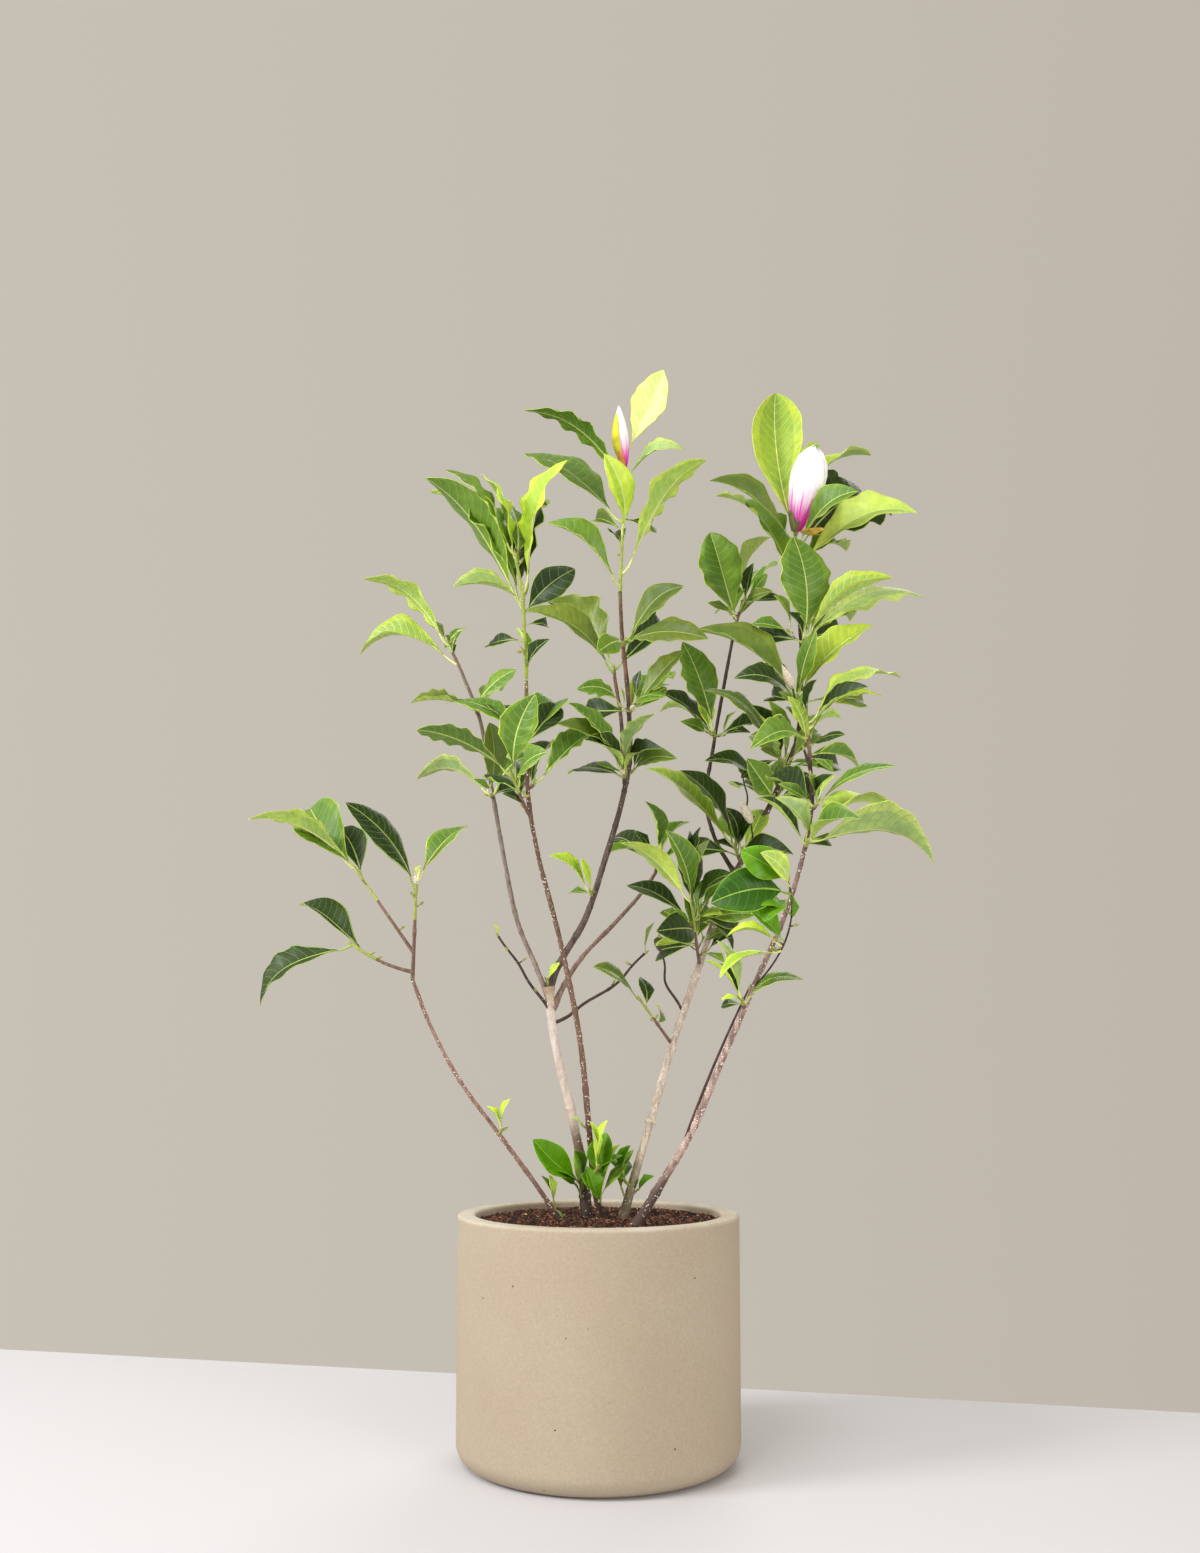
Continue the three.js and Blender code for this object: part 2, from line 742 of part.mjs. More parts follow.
// Closed leaf: a folded, arched blade that widens from a stalk sunk in its twig and ends in a point
function makeLeaf({ root, along, top, side, size, arch }) {
  const small = size < LEAF.smallLength;
  const stations = small ? LEAF.smallStations : LEAF.stations;
  const half = (LEAF.width * size) / 2;
  const thick = Math.max(LEAF.leastThickness, size * LEAF.thickness) / 2;
  const spine = (share) => root.clone()
    .addScaledVector(along, share * size)
    .addScaledVector(top, 4 * arch * size * share * (1 - share));
  const section = (share, reach, fold, height) => {
    const middle = spine(share);
    return [
      middle.clone().addScaledVector(side, reach).addScaledVector(top, fold),
      middle.clone().addScaledVector(top, height),
      middle.clone().addScaledVector(side, -reach).addScaledVector(top, fold),
      middle.clone().addScaledVector(top, -height),
    ];
  };
  const rings = [
    section(0, LEAF.stalk, 0, LEAF.stalk),
    section(LEAF.stalkShare, LEAF.stalk, 0, LEAF.stalk),
    ...stations.map(([share, wide]) => section(share, half * wide, half * wide * LEAF.fold, thick)),
    [spine(1)],
  ];
  return loft(rings);
}

// Closed bud of a flower: slim at its foot, widest low down, pointed
function makeFlower(root, { heading, length, radius, lean }) {
  const [across, up, back] = seenFrom(root);
  const tip = place(
    across + length * Math.cos(degrees(heading)),
    up + length * Math.sin(degrees(heading)),
    back - length * Math.tan(degrees(lean)),
  );
  const shape = [[0, 0.2], [0.12, 0.25], [0.26, 0.8], [0.45, 1], [0.7, 0.85], [0.9, 0.45], [1, 0.12]];
  const points = shape.map(([share]) => root.clone().lerp(tip, share));
  return toSolid(taperedTube(points, shape.map(([, wide]) => radius * wide), LIMB_SIDES));
}

function leafSpots({ root, along, side, size }) {
  const half = (LEAF.width * size) / 2;
  const spots = [root.clone().addScaledVector(along, size)];
  for (const [share, wide] of SPOTS_PER_LEAF) {
    for (const edge of [-1, 0, 1]) {
      spots.push(root.clone().addScaledVector(along, share * size).addScaledVector(side, edge * wide * half));
    }
  }
  return spots;
}

function spotsAreFree(owner, spots) {
  return taken.every((other) => spots.every((spot) => (
    spot.distanceTo(other.point) > (other.owner === owner ? DEALT.apartInMass : other.reach))));
}

function touches(solid, owner) {
  const nearLimb = Object.values(limbs).some((limb) => solid.minGap(limb.body, 1) < CLEARANCE);
  const nearMass = Object.values(masses).some((mass) => mass.name !== owner
    && mass.parts.some((part) => solid.minGap(part, 1) < CLEARANCE));
  return nearLimb || nearMass;
}

const masses = {};

// Adds a leaf to its mass, unless it would touch a limb or another mass
function addLeaf(mass, frame) {
  const solid = toSolid(makeLeaf(frame));
  if (touches(solid, mass.name)) {
    return false;
  }
  mass.parts.push(solid);
  leafSpots(frame).forEach((point) => taken.push({ owner: mass.name, point, reach: DEALT.apart }));
  return true;
}

// Place on a limb's axis at a height of the elevation
function limbPoint(limb, height) {
  const rows = limb.axis.seen;
  const row = rows.findIndex((spot, index) => index > 0 && spot.y >= height);
  const share = (height - rows[row - 1].y) / (rows[row].y - rows[row - 1].y);
  return limb.axis.points[row - 1].clone().lerp(limb.axis.points[row], share);
}

// Twig long enough for its leaves, with the distance of each leaf's root
function leafyTwig(from, to, footRadius, leaves) {
  const length = from.distanceTo(to);
  const roots = spacedRoots(leaves, length);
  const reach = Math.max(length, ...roots);
  const end = from.clone().lerp(to, reach / length);
  return { ...makeTwig(from, end, footRadius), leaves, roots, length: reach };
}

function startMass(name, spec) {
  const limb = limbs[spec.limb];
  const to = place(...deepened(spec.to));
  const onTip = spec.height === undefined;
  const from = onTip ? limb.axis.points.at(-1) : limbPoint(limb, spec.height);
  const stem = leafyTwig(from, to, onTip ? limb.radii[1] : TWIG.footRadius, spec.leaves);
  const twigs = [stem];
  const parts = [stem.solid.subtract(limb.clear)];
  (spec.twigs ?? []).forEach((twig) => {
    const start = twigPoint(stem.points, twig.share);
    const made = leafyTwig(start, place(...deepened(twig.to)), TWIG.footRadius, twig.leaves);
    parts.push(made.solid);
    twigs.push(made);
  });
  (spec.flowers ?? []).forEach((flower) => {
    parts.push(makeFlower(twigPoint(stem.points, flower.share), flower));
  });
  masses[name] = { name, parts, twigs, spec };
}

// Leaves that the elevation shows
function growShownLeaves(mass) {
  mass.twigs.forEach((twig) => {
    twig.leaves.forEach((row, index) => {
      const root = twigPoint(twig.points, twig.roots[index] / twig.length);
      addLeaf(mass, leafFrame(root, row, index));
    });
  });
}

// Leaves dealt round each twig, so that the crown is as full from the sides and the back
function growDealtLeaves(mass, number) {
  const draw = seeded(DEALT.seed * (number + 1));
  const between = (low, high) => low + (high - low) * draw();
  for (let count = 0; count < mass.spec.dealt; count += 1) {
    const twig = mass.twigs[count % mass.twigs.length];
    for (let attempt = 0; attempt < DEALT.tries; attempt += 1) {
      const root = between(DEALT.lowest, 1) * twig.length;
      const size = between(DEALT.shortest, DEALT.longest);
      const lean = between(DEALT.leastLean, DEALT.mostLean) * (count % DEALT.oneInFront === 1 ? 1 : -1);
      const heading = 90 + between(-DEALT.headingSpread, DEALT.headingSpread);
      const turn = between(...DEALT.turns);
      const row = [root, heading, size * Math.cos(degrees(lean)), turn, lean];
      const frame = leafFrame(twigPoint(twig.points, root / twig.length), row, count);
      const apart = twig.roots.every((other) => Math.abs(other - root) > DEALT.rootSpace);
      if (apart && spotsAreFree(mass.name, leafSpots(frame)) && addLeaf(mass, frame)) {
        twig.roots.push(root);
        break;
      }
    }
  }
}

Object.entries(MASSES).forEach(([name, spec]) => startMass(name, spec));
limbSpots();
Object.values(masses).forEach((mass) => growShownLeaves(mass));
Object.values(masses).forEach((mass, number) => growDealtLeaves(mass, number));
Object.values(masses).forEach((mass) => {
  const fused = mass.parts.reduce((whole, part) => whole.add(part));
  const plain = wholePiece(fused.simplify(CLEARANCE / 3));
  addMesh(mass.name, toGeometry(plain), mass.spec.young ? COLOURS.youngLeaf : COLOURS.leaf, 0.6);
});
export default plant;
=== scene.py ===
"""Potted jane magnolia: stone pot, soil, bark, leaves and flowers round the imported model.

The plan of the plant is in millimetres, as in its construction. Every mesh is in metres.
"""

import json
import logging
import math
from dataclasses import dataclass, field
from enum import Enum
from typing import Any, Callable, Iterable, Sequence

import bpy
import numpy as np
from mathutils.bvhtree import BVHTree
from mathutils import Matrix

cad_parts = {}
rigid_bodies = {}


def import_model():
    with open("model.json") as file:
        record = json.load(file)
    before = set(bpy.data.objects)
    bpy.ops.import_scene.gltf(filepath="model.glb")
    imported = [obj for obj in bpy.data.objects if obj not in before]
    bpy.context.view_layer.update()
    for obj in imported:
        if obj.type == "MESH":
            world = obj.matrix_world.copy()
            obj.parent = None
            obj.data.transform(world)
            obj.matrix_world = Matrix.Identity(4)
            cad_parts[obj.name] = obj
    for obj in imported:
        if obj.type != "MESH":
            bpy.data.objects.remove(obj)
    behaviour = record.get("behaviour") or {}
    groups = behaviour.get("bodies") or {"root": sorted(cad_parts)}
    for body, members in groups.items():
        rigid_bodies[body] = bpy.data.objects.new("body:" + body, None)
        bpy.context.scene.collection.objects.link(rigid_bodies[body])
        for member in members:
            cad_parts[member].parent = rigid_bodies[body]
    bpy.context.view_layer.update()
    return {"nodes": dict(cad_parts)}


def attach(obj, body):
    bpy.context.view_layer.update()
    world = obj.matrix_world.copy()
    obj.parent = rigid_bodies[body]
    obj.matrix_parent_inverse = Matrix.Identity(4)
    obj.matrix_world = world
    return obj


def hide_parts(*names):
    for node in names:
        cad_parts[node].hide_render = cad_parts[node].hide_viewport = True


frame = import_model()

Array = np.ndarray
Colour = tuple[float, float, float, float]
Faces = list[tuple[int, ...]]
Material = bpy.types.Material
Mesh = bpy.types.Mesh
Pair = tuple[float, float]
Piece = bpy.types.Object
Row = Sequence[float]
Spot = tuple[float, float, float]

MM = 0.001
BODY = "root"
LOG = logging.getLogger("magnolia")


def srgb(red: float, green: float, blue: float) -> Colour:
    """Linear scene colour of a display colour with channels from 0 to 255."""
    given = (red / 255, green / 255, blue / 255)
    return (*(((v + 0.055) / 1.055) ** 2.4 if v > 10 / 255 else v / 12.92 for v in given), 1.0)


def shaded(colour: Colour, gain: float) -> Colour:
    """Colour made darker or lighter by a gain."""
    return (min(colour[0] * gain, 1.0), min(colour[1] * gain, 1.0), min(colour[2] * gain, 1.0), 1.0)


def yellowed(colour: Colour, gain: float) -> Colour:
    """Leaf colour made lighter and a little yellower."""
    return (min(colour[0] * gain * 1.12, 1.0), min(colour[1] * gain, 1.0), colour[2] * gain * 0.8, 1.0)


class Bark(Enum):
    """Bark of a limb, as the record's material slot."""

    PALE = "pale_bark"
    BROWN = "brown_bark"
    PINK = "pink_bark"
    DARK = "dark_bark"


class Tone(Enum):
    """Tint of a leaf, by the letter that the rows use for it."""

    DARK = "d"
    MID = "t"
    LIGHT = "l"
    UNDER = "u"
    LIME = "y"
    PALE = "p"
    OLIVE = "v"
    GREY = "g"
    BRIGHT = "b"
    DEEP = "k"


@dataclass(frozen=True)
class Eye:
    """Eye of the front elevation and of the camera: places in mm, tilt in degrees, the rest in pixels."""

    distance: float = 1506.0
    height: float = 420.0
    tilt: float = 5.0
    focal: float = 1388.0
    centre: Pair = (598.5, 937.5)
    frame: Pair = (1200.0, 1553.0)


@dataclass(frozen=True)
class Limb:
    """Stem or bough: its bark, the radius at its foot and tip, and its route on the elevation."""

    bark: Bark
    radii: Pair
    route: tuple[Spot, ...]
    parent: str = ""


@dataclass(frozen=True)
class SideTwig:
    """Twig that leaves the stem of a mass at a share of its length."""

    share: float
    to: Spot
    rows: tuple[Row, ...]


@dataclass(frozen=True)
class Mass:
    """Mass of foliage: where its stem starts and ends, and its leaves.

    A row is the share along the twig, the heading and length on the elevation, the turn of the face
    to the eye (90 shows its top, below 0 its underside) and the lean towards the front. The tones
    are a letter for each row, those of the side twigs last. A capital letter is a broad leaf.
    """

    limb: str
    to: Spot
    tones: str
    dealt: int
    rows: tuple[Row, ...]
    height: float | None = None
    twigs: tuple[SideTwig, ...] = ()
    bow: float = 0.0
    crook: float = 0.0
    girth: float = 1.0


@dataclass(frozen=True)
class Shoot:
    """Finer shoot that only shows up close: where it leaves its limb, its reach, and its leaves."""

    limb: str
    height: float
    reach: Spot
    tones: str = ""
    rows: tuple[Row, ...] = ()
    foot: float = 1.3
    bow: float = 0.0
    crook: float = 0.0


@dataclass(frozen=True)
class LeafPlan:
    """Leaf as it is planned: shares of its length, with its sizes in mm."""

    width: float = 0.5
    stalk: float = 0.75
    stalk_share: float = 0.13
    stations: tuple[Pair, ...] = ((0.38, 0.9), (0.7, 0.92))
    small_stations: tuple[Pair, ...] = ((0.52, 1.0),)
    small_length: float = 112.0
    fold: float = 0.22
    arch: Pair = (0.05, 0.13)
    thickness: float = 1 / 75
    least_thickness: float = 1.2
    spots: tuple[Pair, ...] = ((0.35, 0.6), (0.6, 1.0), (0.85, 0.5))


@dataclass(frozen=True)
class TwigPlan:
    """Twig as it is planned, in mm, with its sag as a share of its length."""

    foot: float = 2.1
    sag: float = 0.06
    steep: float = 0.7
    root_space: float = 4.2
    bare_foot: float = 5.0
    step: float = 45.0


@dataclass(frozen=True)
class DealtPlan:
    """Seeded rule of the leaves that point to the front and to the back."""

    seed: int = 7919
    sizes: Pair = (62.0, 98.0)
    leans: Pair = (38.0, 68.0)
    spread: float = 110.0
    one_in_front: int = 3
    root_space: float = 3.0
    lowest: float = 0.3
    turns: Pair = (15.0, 75.0)
    tries: int = 14
    apart: float = 12.0
    apart_in_mass: float = 9.0
    from_limb: float = 7.0
    # Mostly dark tones: partly painted shade for the dealt leaves behind and inside the crown.
    tones: str = "dtdvd"
    young_tones: str = "bkb"


@dataclass(frozen=True)
class SpurPlan:
    """Seeded rule of the finer spurs that branch from the twigs, in mm and degrees."""

    seed: int = 4201
    space: float = 34.0
    shares: Pair = (0.2, 0.92)
    lengths: Pair = (7.0, 20.0)
    rises: Pair = (0.1, 1.4)
    swing: float = 35.0
    leaves: tuple[Pair, ...] = ((1, 25), (0.75, -30))
    sizes: Pair = (24.0, 56.0)
    turns: Pair = (15.0, 80.0)
    leans: Pair = (-50.0, 50.0)
    foot: float = 0.9
    tries: int = 7
    near: float = 0.62
    bare_length: float = 0.35
    along_flower: Spot = (0.1, 0.45, 0.8)
    before_flower: tuple[float, ...] = (0.0, 30.0, 60.0, 90.0)
    flower_room: float = 34.0
    tones: str = "tdvtltd"
    young_tones: str = "bybk"


EYE = Eye()
EYE_PLACE = np.array([0.0, -EYE.distance, EYE.height])
SPUR = SpurPlan()
LEAF = LeafPlan()
TWIG = TwigPlan()
DEALT = DealtPlan()
SOIL_TOP = 248.0
CLEARANCE = 0.3
LIMB_SIDES = 7
LIMB_STEP = 42.0
AXIS_STEP = 10.5
GOLDEN_ANGLE = 137.5
FULL_LENGTH = (0.6, 45.0, 1.02)
DEEPER = (0.6, 400.0)
GREEN_MASSES = ("foliage_top", "foliage_third_top")


def named(names: str) -> tuple[str, ...]:
    """Nodes of masses from their short names."""
    return tuple(name if name.startswith("twig") else "foliage_" + name for name in names.split())


def slot_of(region: str) -> str:
    """Material slot of the leaves and twigs of a region."""
    return "young_foliage" if region == "young" else "foliage"


LIMBS: dict[str, Limb] = {
    "stem_slender": Limb(Bark.BROWN, (4.2, 2.2), ((-34, 236, 27), (-63, 280, 12), (-106, 338, -4),
        (-150, 397, -24), (-184, 460, -46), (-202, 506, -62))),
    "stem_pale": Limb(Bark.PALE, (7.2, 5.2), ((-12, 236, 36), (-17, 300, 37), (-30, 365, 36),
        (-48, 444, 31), (-54, 498, 28))),
    "stem_brown": Limb(Bark.BROWN, (4.3, 2.1), ((5, 236, 16), (-5, 291, 9), (-11, 354, 0), (-20, 440, -8),
        (-42, 549, -14), (-66, 642, -30), (-77, 705, -42), (-79, 780, -56), (-80, 840, -68))),
    "stem_tall": Limb(Bark.PALE, (5.6, 2.6), ((22, 236, 25), (39, 296, 26), (55, 349, 30), (80, 435, 40),
        (110, 522, 50), (135, 593, 55), (160, 642, 58), (194, 709, 62), (219, 768, 66))),
    "stem_front": Limb(Bark.PINK, (7, 2.2), ((37, 236, -52), (66, 285, -55), (98, 338, -60),
        (131, 413, -68), (167, 495, -72), (203, 576, -66), (224, 642, -55), (235, 703, -42),
        (233, 745, -32))),
    "bough_left": Limb(Bark.BROWN, (2.9, 2), ((-51, 478, 29), (-68, 520, 36), (-88, 568, 46),
        (-103, 637, 62), (-118, 720, 76), (-131, 793, 85), (-152, 848, 91)), parent="stem_pale"),
    "bough_top": Limb(Bark.DARK, (3.8, 2.1), ((-54, 498, 28), (-40, 528, 25), (-15, 571, 19), (7, 637, 10),
        (26, 703, 2), (34, 748, 0), (33, 815, 5), (26, 890, 10), (24, 938, 12)), parent="stem_pale"),
    "bough_right": Limb(Bark.BROWN, (3, 2), ((-50, 474, 29), (-34, 506, 37), (-18, 530, 42), (21, 571, 50),
        (49, 603, 56), (62, 622, 58)), parent="stem_pale"),
    "bough_dark": Limb(Bark.DARK, (2.3, 2), ((30, 722, 1), (27, 750, 14), (25, 793, 26), (18, 840, 36)),
        parent="bough_top"),
    "bough_back": Limb(Bark.DARK, (2.4, 2), ((149, 622, 57), (128, 660, 78), (118, 703, 96),
        (127, 765, 112), (138, 827, 122), (151, 896, 130)), parent="stem_tall"),
    "bough_crown": Limb(Bark.DARK, (2.5, 2.1), ((219, 768, 66), (223, 800, 66), (225, 872, 60),
        (221, 938, 50)), parent="stem_tall"),
}
MASSES: dict[str, Mass] = {named(name)[0]: mass for name, mass in {
    "low_left": Mass("stem_slender", (-199, 613, -92), "dtpdduTd", 5, ((0.92, 129, 125, 35, 20),
        (1, 48, 82, 35, -30), (0.95, 80, 24, 30, 35)), twigs=(SideTwig(0.08, (-268, 544, -62),
        ((1, -146, 119, 25, -10), (0.7, 145, 96, 35, -25))), SideTwig(0.28, (-265, 626, -50),
        ((1, 155, 132, -30, 24), (1, 127, 89, 85, -28), (0.9, 118, 60, 70, -40))))),
    "left_top": Mass("bough_left", (-168, 882, 97), "ulvg", 4, ((0.95, 142, 125, -25),
        (0.2, 174, 110, 30, -20), (1, 135, 35, 25, -30), (1, 41, 25, 20, 30))),
    "third_top": Mass("stem_brown", (-84, 940, -92), "ttydgDtdtyt", 6, ((0.83, 127, 184, -27, 12),
        (0.77, 128, 172, 25, -14), (0.97, 72, 161, 15, 10), (0.97, 75, 112, 22, -25),
        (0.97, 168, 80, 25, 30), (0.75, 43, 77, 85, 15), (0.22, 108, 36, 30, -30), (0.08, 54, 45, 40, 35)),
        twigs=(SideTwig(0.9, (-93, 980, -98), ((1, 129, 126, 12, 20), (0.95, 112, 106, 8, 0),
        (0.9, 100, 73, 42, -40))),)),
    "left_upper": Mass("bough_left", (-137, 808, 68), "tvd", 2, ((1, 42, 62, 40, 15),
        (0.9, 175, 72, 18, 20), (1, 172, 32, 20, -30)), height=800),
    "left_middle": Mass("bough_left", (-119, 712, 60), "Vgt", 3, ((1, 91, 78, 56, 20),
        (0.8, 169, 85, -22, -20), (0.9, 140, 25, 50, 40)), height=706),
    "third_left": Mass("stem_brown", (-96, 735, -62), "ttd", 3, ((0.9, 154, 119, -22, 25),
        (0.85, 77, 99, 67, 25), (0.2, 149, 32, 34, 30)), height=684),
    "third_upper": Mass("stem_brown", (-84, 768, -40), "td", 2, ((1, 149, 88, 30, -25),
        (1, 145, 62, 26, -45)), height=762),
    "third_right": Mass("stem_brown", (-70, 722, -34), "tdd", 3, ((1, 41, 86, 38, -15),
        (0.9, 53, 56, 33, -45), (0.9, 111, 35, 25, -40)), height=716),
    "top": Mass("bough_top", (31, 1096, 20), "tuyttgp", 7, ((0.04, 139, 110, 32), (0.12, 54, 165, -21, 15),
        (0.4, 102, 98, 50, 30), (0.5, 144, 135, 20, -30), (0.8, 144, 141, -20, 15), (0.84, 25, 73, 24, 30),
        (1, 67, 108, 77, 10))),
    "dark_top": Mass("bough_dark", (17, 852, 42), "vv", 3, ((1, 135, 107, -33, -20),
        (0.4, 146, 126, 34, 5))),
    "middle_top": Mass("bough_top", (30, 882, -14), "vv", 3, ((1, 44, 90, 37, 20), (0.9, 2, 92, 37, 35)),
        height=876),
    "middle_right": Mass("bough_top", (37, 806, -10), "vt", 2, ((1, 48, 88, 38, 15), (0.9, 20, 40, 30, 40)),
        height=802),
    "fork": Mass("bough_top", (27, 734, -22), "tvdtgd", 3, ((1, 128, 99, 23, 25), (0.9, 143, 93, 20, 32),
        (0.8, 139, 59, 25, 50), (0.7, 157, 34, 17, 30), (1, 62, 76, -32, 30), (0.7, 37, 51, 18, 45)),
        height=728),
    "crown": Mass("bough_crown", (220, 1009, 44), "lvtyytDu", 6, ((0.92, 97, 168, 86, -3),
        (0.85, 144, 118, 27, 15), (0.15, 132, 134, 20, -20), (1, 45, 122, 18, -25), (1, 74, 107, 10, -30),
        (0.8, 41, 94, 32, 35), (0.65, 30, 108, 62, -35), (0.45, 23, 149, 32, 10))),
    "crown_middle": Mass("bough_crown", (228, 884, 34), "Tdlg", 4, ((1, 95, 117, 57, 12),
        (0.9, 119, 36, 35, 40), (1, 35, 123, 22, 20), (0.8, 20, 144, 22, -10)), height=880),
    "crown_low": Mass("bough_crown", (221, 820, 36), "vltd", 4, ((1, 148, 138, 26, -22),
        (1, 44, 116, 50, 15), (0.9, 75, 78, 40, 30), (0.8, 163, 75, 30, 30)), height=812),
    "back_top": Mass("bough_back", (160, 926, 136), "Tgt", 5, ((0.3, 106, 105, 80, 15),
        (1, 67, 81, -21, -30), (1, 49, 60, 17, -45))),
    "back_middle": Mass("bough_back", (128, 780, 100), "tddd", 4, ((1, 109, 107, 59, 10),
        (1, 143, 75, 21, 35), (0.8, 155, 66, 20, -35), (1, -3, 65, 23, -30)), height=770),
    "tall_upper": Mass("stem_tall", (203, 746, 44), "vdt", 3, ((1, 138, 120, 19, 5), (0.9, 118, 73, 29, 35),
        (0.9, 103, 72, 19, 45)), height=738),
    "tall_middle": Mass("stem_tall", (194, 706, 42), "dtdd", 3, ((1, 152, 87, 17, 25), (1, 124, 54, 60, 45),
        (0.9, 28, 52, 29, 30), (0.9, -9, 46, 15, 35)), height=700),
    "front_top": Mass("stem_front", (231, 793, -16), "dudltdtt", 4, ((0.97, 77, 48, 27, 45),
        (0.96, 27, 116, 18, -20), (0.9, 34, 81, 18, 35), (0.8, 25, 93, 16, 10), (0.5, 36, 44, 20, -45),
        (0.35, 20, 42, 20, 45), (0.2, -17, 56, 33, -35), (0.15, -33, 30, 34, 40))),
    "front_upper": Mass("stem_front", (240, 698, -56), "td", 2, ((1, 26, 98, 18, 15),
        (0.9, 60, 40, 30, 45)), height=694),
    "front_right": Mass("stem_front", (229, 658, -74), "Gutgd", 4, ((1, -10, 140, -24, 10),
        (0.9, 19, 103, 18, -25), (0.7, 25, 67, 20, 45), (1, 125, 60, 48, 30), (0.9, 137, 74, 22, -15)),
        height=650),
    "tall_low": Mass("stem_tall", (150, 652, 32), "lddd", 3, ((1, 139, 133, 26, -12),
        (0.9, 125, 107, 20, 22), (1, 104, 46, 42, 45), (0.9, 62, 44, 43, 40)), height=634),
    "inner": Mass("stem_tall", (102, 590, 4), "udtdvdd", 4, ((1, 140, 102, -30, 10),
        (0.9, 151, 84, 34, -20), (1, 109, 88, 40, 30), (1, 92, 87, 30, -25), (1, 77, 83, 25, 15),
        (0.95, 49, 66, 22, 40), (1, 85, 99, 25, -10)), height=522),
    "right_bough": Mass("bough_right", (67, 642, 62), "tt", 3, ((1, 105, 62, 35, 20),
        (1, 50, 52, 30, -30))),
    "front_low": Mass("stem_front", (207, 614, -112), "bukbbbyyb", 4, ((1, 147, 61, 80, 20),
        (0.95, 129, 48, 45, 40), (0.9, -173, 86, 75, 15), (0.85, -135, 38, 50, 40), (0.7, 167, 50, 32, 35),
        (0.45, 137, 48, 40, 25), (0.4, 170, 61, 22, 0), (0.36, -155, 73, 20, 25), (0.93, -84, 30, 27, -35)),
        height=497, bow=17, girth=0.55),
    "front_foot": Mass("stem_front", (156, 484, -90), "gdty", 2, ((1, 113, 70, 22, -20),
        (1, 133, 60, 15, -15), (0.9, 21, 70, 21, 20), (1, 175, 24, 20, 30)), height=476),
    "tall_foot": Mass("stem_tall", (45, 484, 22), "v", 2, ((1, 145, 62, 20, 35),), height=435),
    "twig_pale_left": Mass("stem_pale", (-109, 553, 8), "y", 0, ((1, 115, 14, 40, 10),), height=470,
        crook=1.5),
    "twig_pale_right": Mass("stem_pale", (50, 534, 20), "v", 1, ((1, 72, 36, 20, 20),), height=458,
        crook=4),
    "bough_foot": Mass("bough_top", (-9, 602, 2), "yy", 2, ((1, 139, 60, 24, 20), (1, 106, 40, 29, 30)),
        height=596),
    "foot_left": Mass("stem_pale", (-20, 288, 22), "bbb", 2, ((1, 138, 68, 77, 15), (0.9, 102, 36, 30, 30),
        (0.8, 150, 34, 17, 40)), height=280),
    "foot_middle": Mass("stem_brown", (-1, 304, -2), "yyb", 2, ((1, 100, 50, 19, 10), (1, 77, 54, 19, 25),
        (0.8, 30, 34, 20, 20)), height=296),
    "foot_tall": Mass("stem_tall", (28, 290, 16), "b", 1, ((1, 80, 38, 25, 20),), height=284),
    "foot_slender": Mass("stem_slender", (-104, 344, -14), "yy", 1, ((1, 123, 30, 15, 20),
        (1, 73, 36, 15, 30)), height=340),
}.items()}
SHOOTS: dict[str, Shoot] = {
    "shoot_slender": Shoot("stem_slender", 254, (-3, 22, -10), "vyt", ((1, 122, 24, 30, 10),
        (0.6, 100, 30, 50, 10), (0.35, -60, 20, 40, -10))),
    "shoot_brown": Shoot("stem_brown", 343, (-5, 4, -1), "g", ((1, 150, 18, 35, 10),)),
    "shoot_between": Shoot("stem_brown", 256, (2, 32, -6), "byytbb", ((1, 84, 54, 62, 5),
        (0.88, 66, 50, 30, 8), (0.74, 95, 66, 14, 0), (0.6, 50, 44, 40, 4), (0.46, 128, 34, 50, 12),
        (0.32, 112, 42, 60, 8))),
    "shoot_tall_foot": Shoot("stem_tall", 266, (-9, 26, -5), "tb", ((1, 62, 36, 45, 6),
        (0.6, 96, 34, 34, 8))),
    "shoot_tall_right": Shoot("stem_tall", 272, (9, 8, -4), "bt", ((1, 38, 24, 50, 8),
        (0.7, 70, 16, 30, 8))),
    "shoot_under_left": Shoot("stem_pale", 262, (-9, 22, -8), "by", ((1, 134, 34, 46, 10),
        (0.6, 100, 44, 34, 8))),
    "twig_of_upper_bud": Shoot("bough_crown", 778, (-20, 32, -92), foot=1.3, bow=3),
    "twig_of_lower_bud": Shoot("stem_tall", 656, (-10, 12, -84), foot=1.2, bow=2),
    "shoot_fork": Shoot("stem_pale", 486, (-2, 16, -6), "yg", ((1, 60, 26, 40, 10),
        (0.6, 110, 15, 30, 10))),
    "bare_tall": Shoot("stem_tall", 655, (-9, 82, -8), crook=2.5),
    "bare_low": Shoot("stem_tall", 470, (-26, 84, -6), foot=1.6, bow=-7, crook=3),
    "bare_middle": Shoot("stem_brown", 668, (-6, 40, -6), crook=2),
    "stub_pink": Shoot("stem_front", 700, (-2, 28, -4), foot=2.4),
    "stub_dark": Shoot("stem_front", 735, (-6, 24, 4), foot=2.2),
    "split_front": Shoot("stem_front", 322, (67, 164, -34), foot=1.8, bow=-3),
}
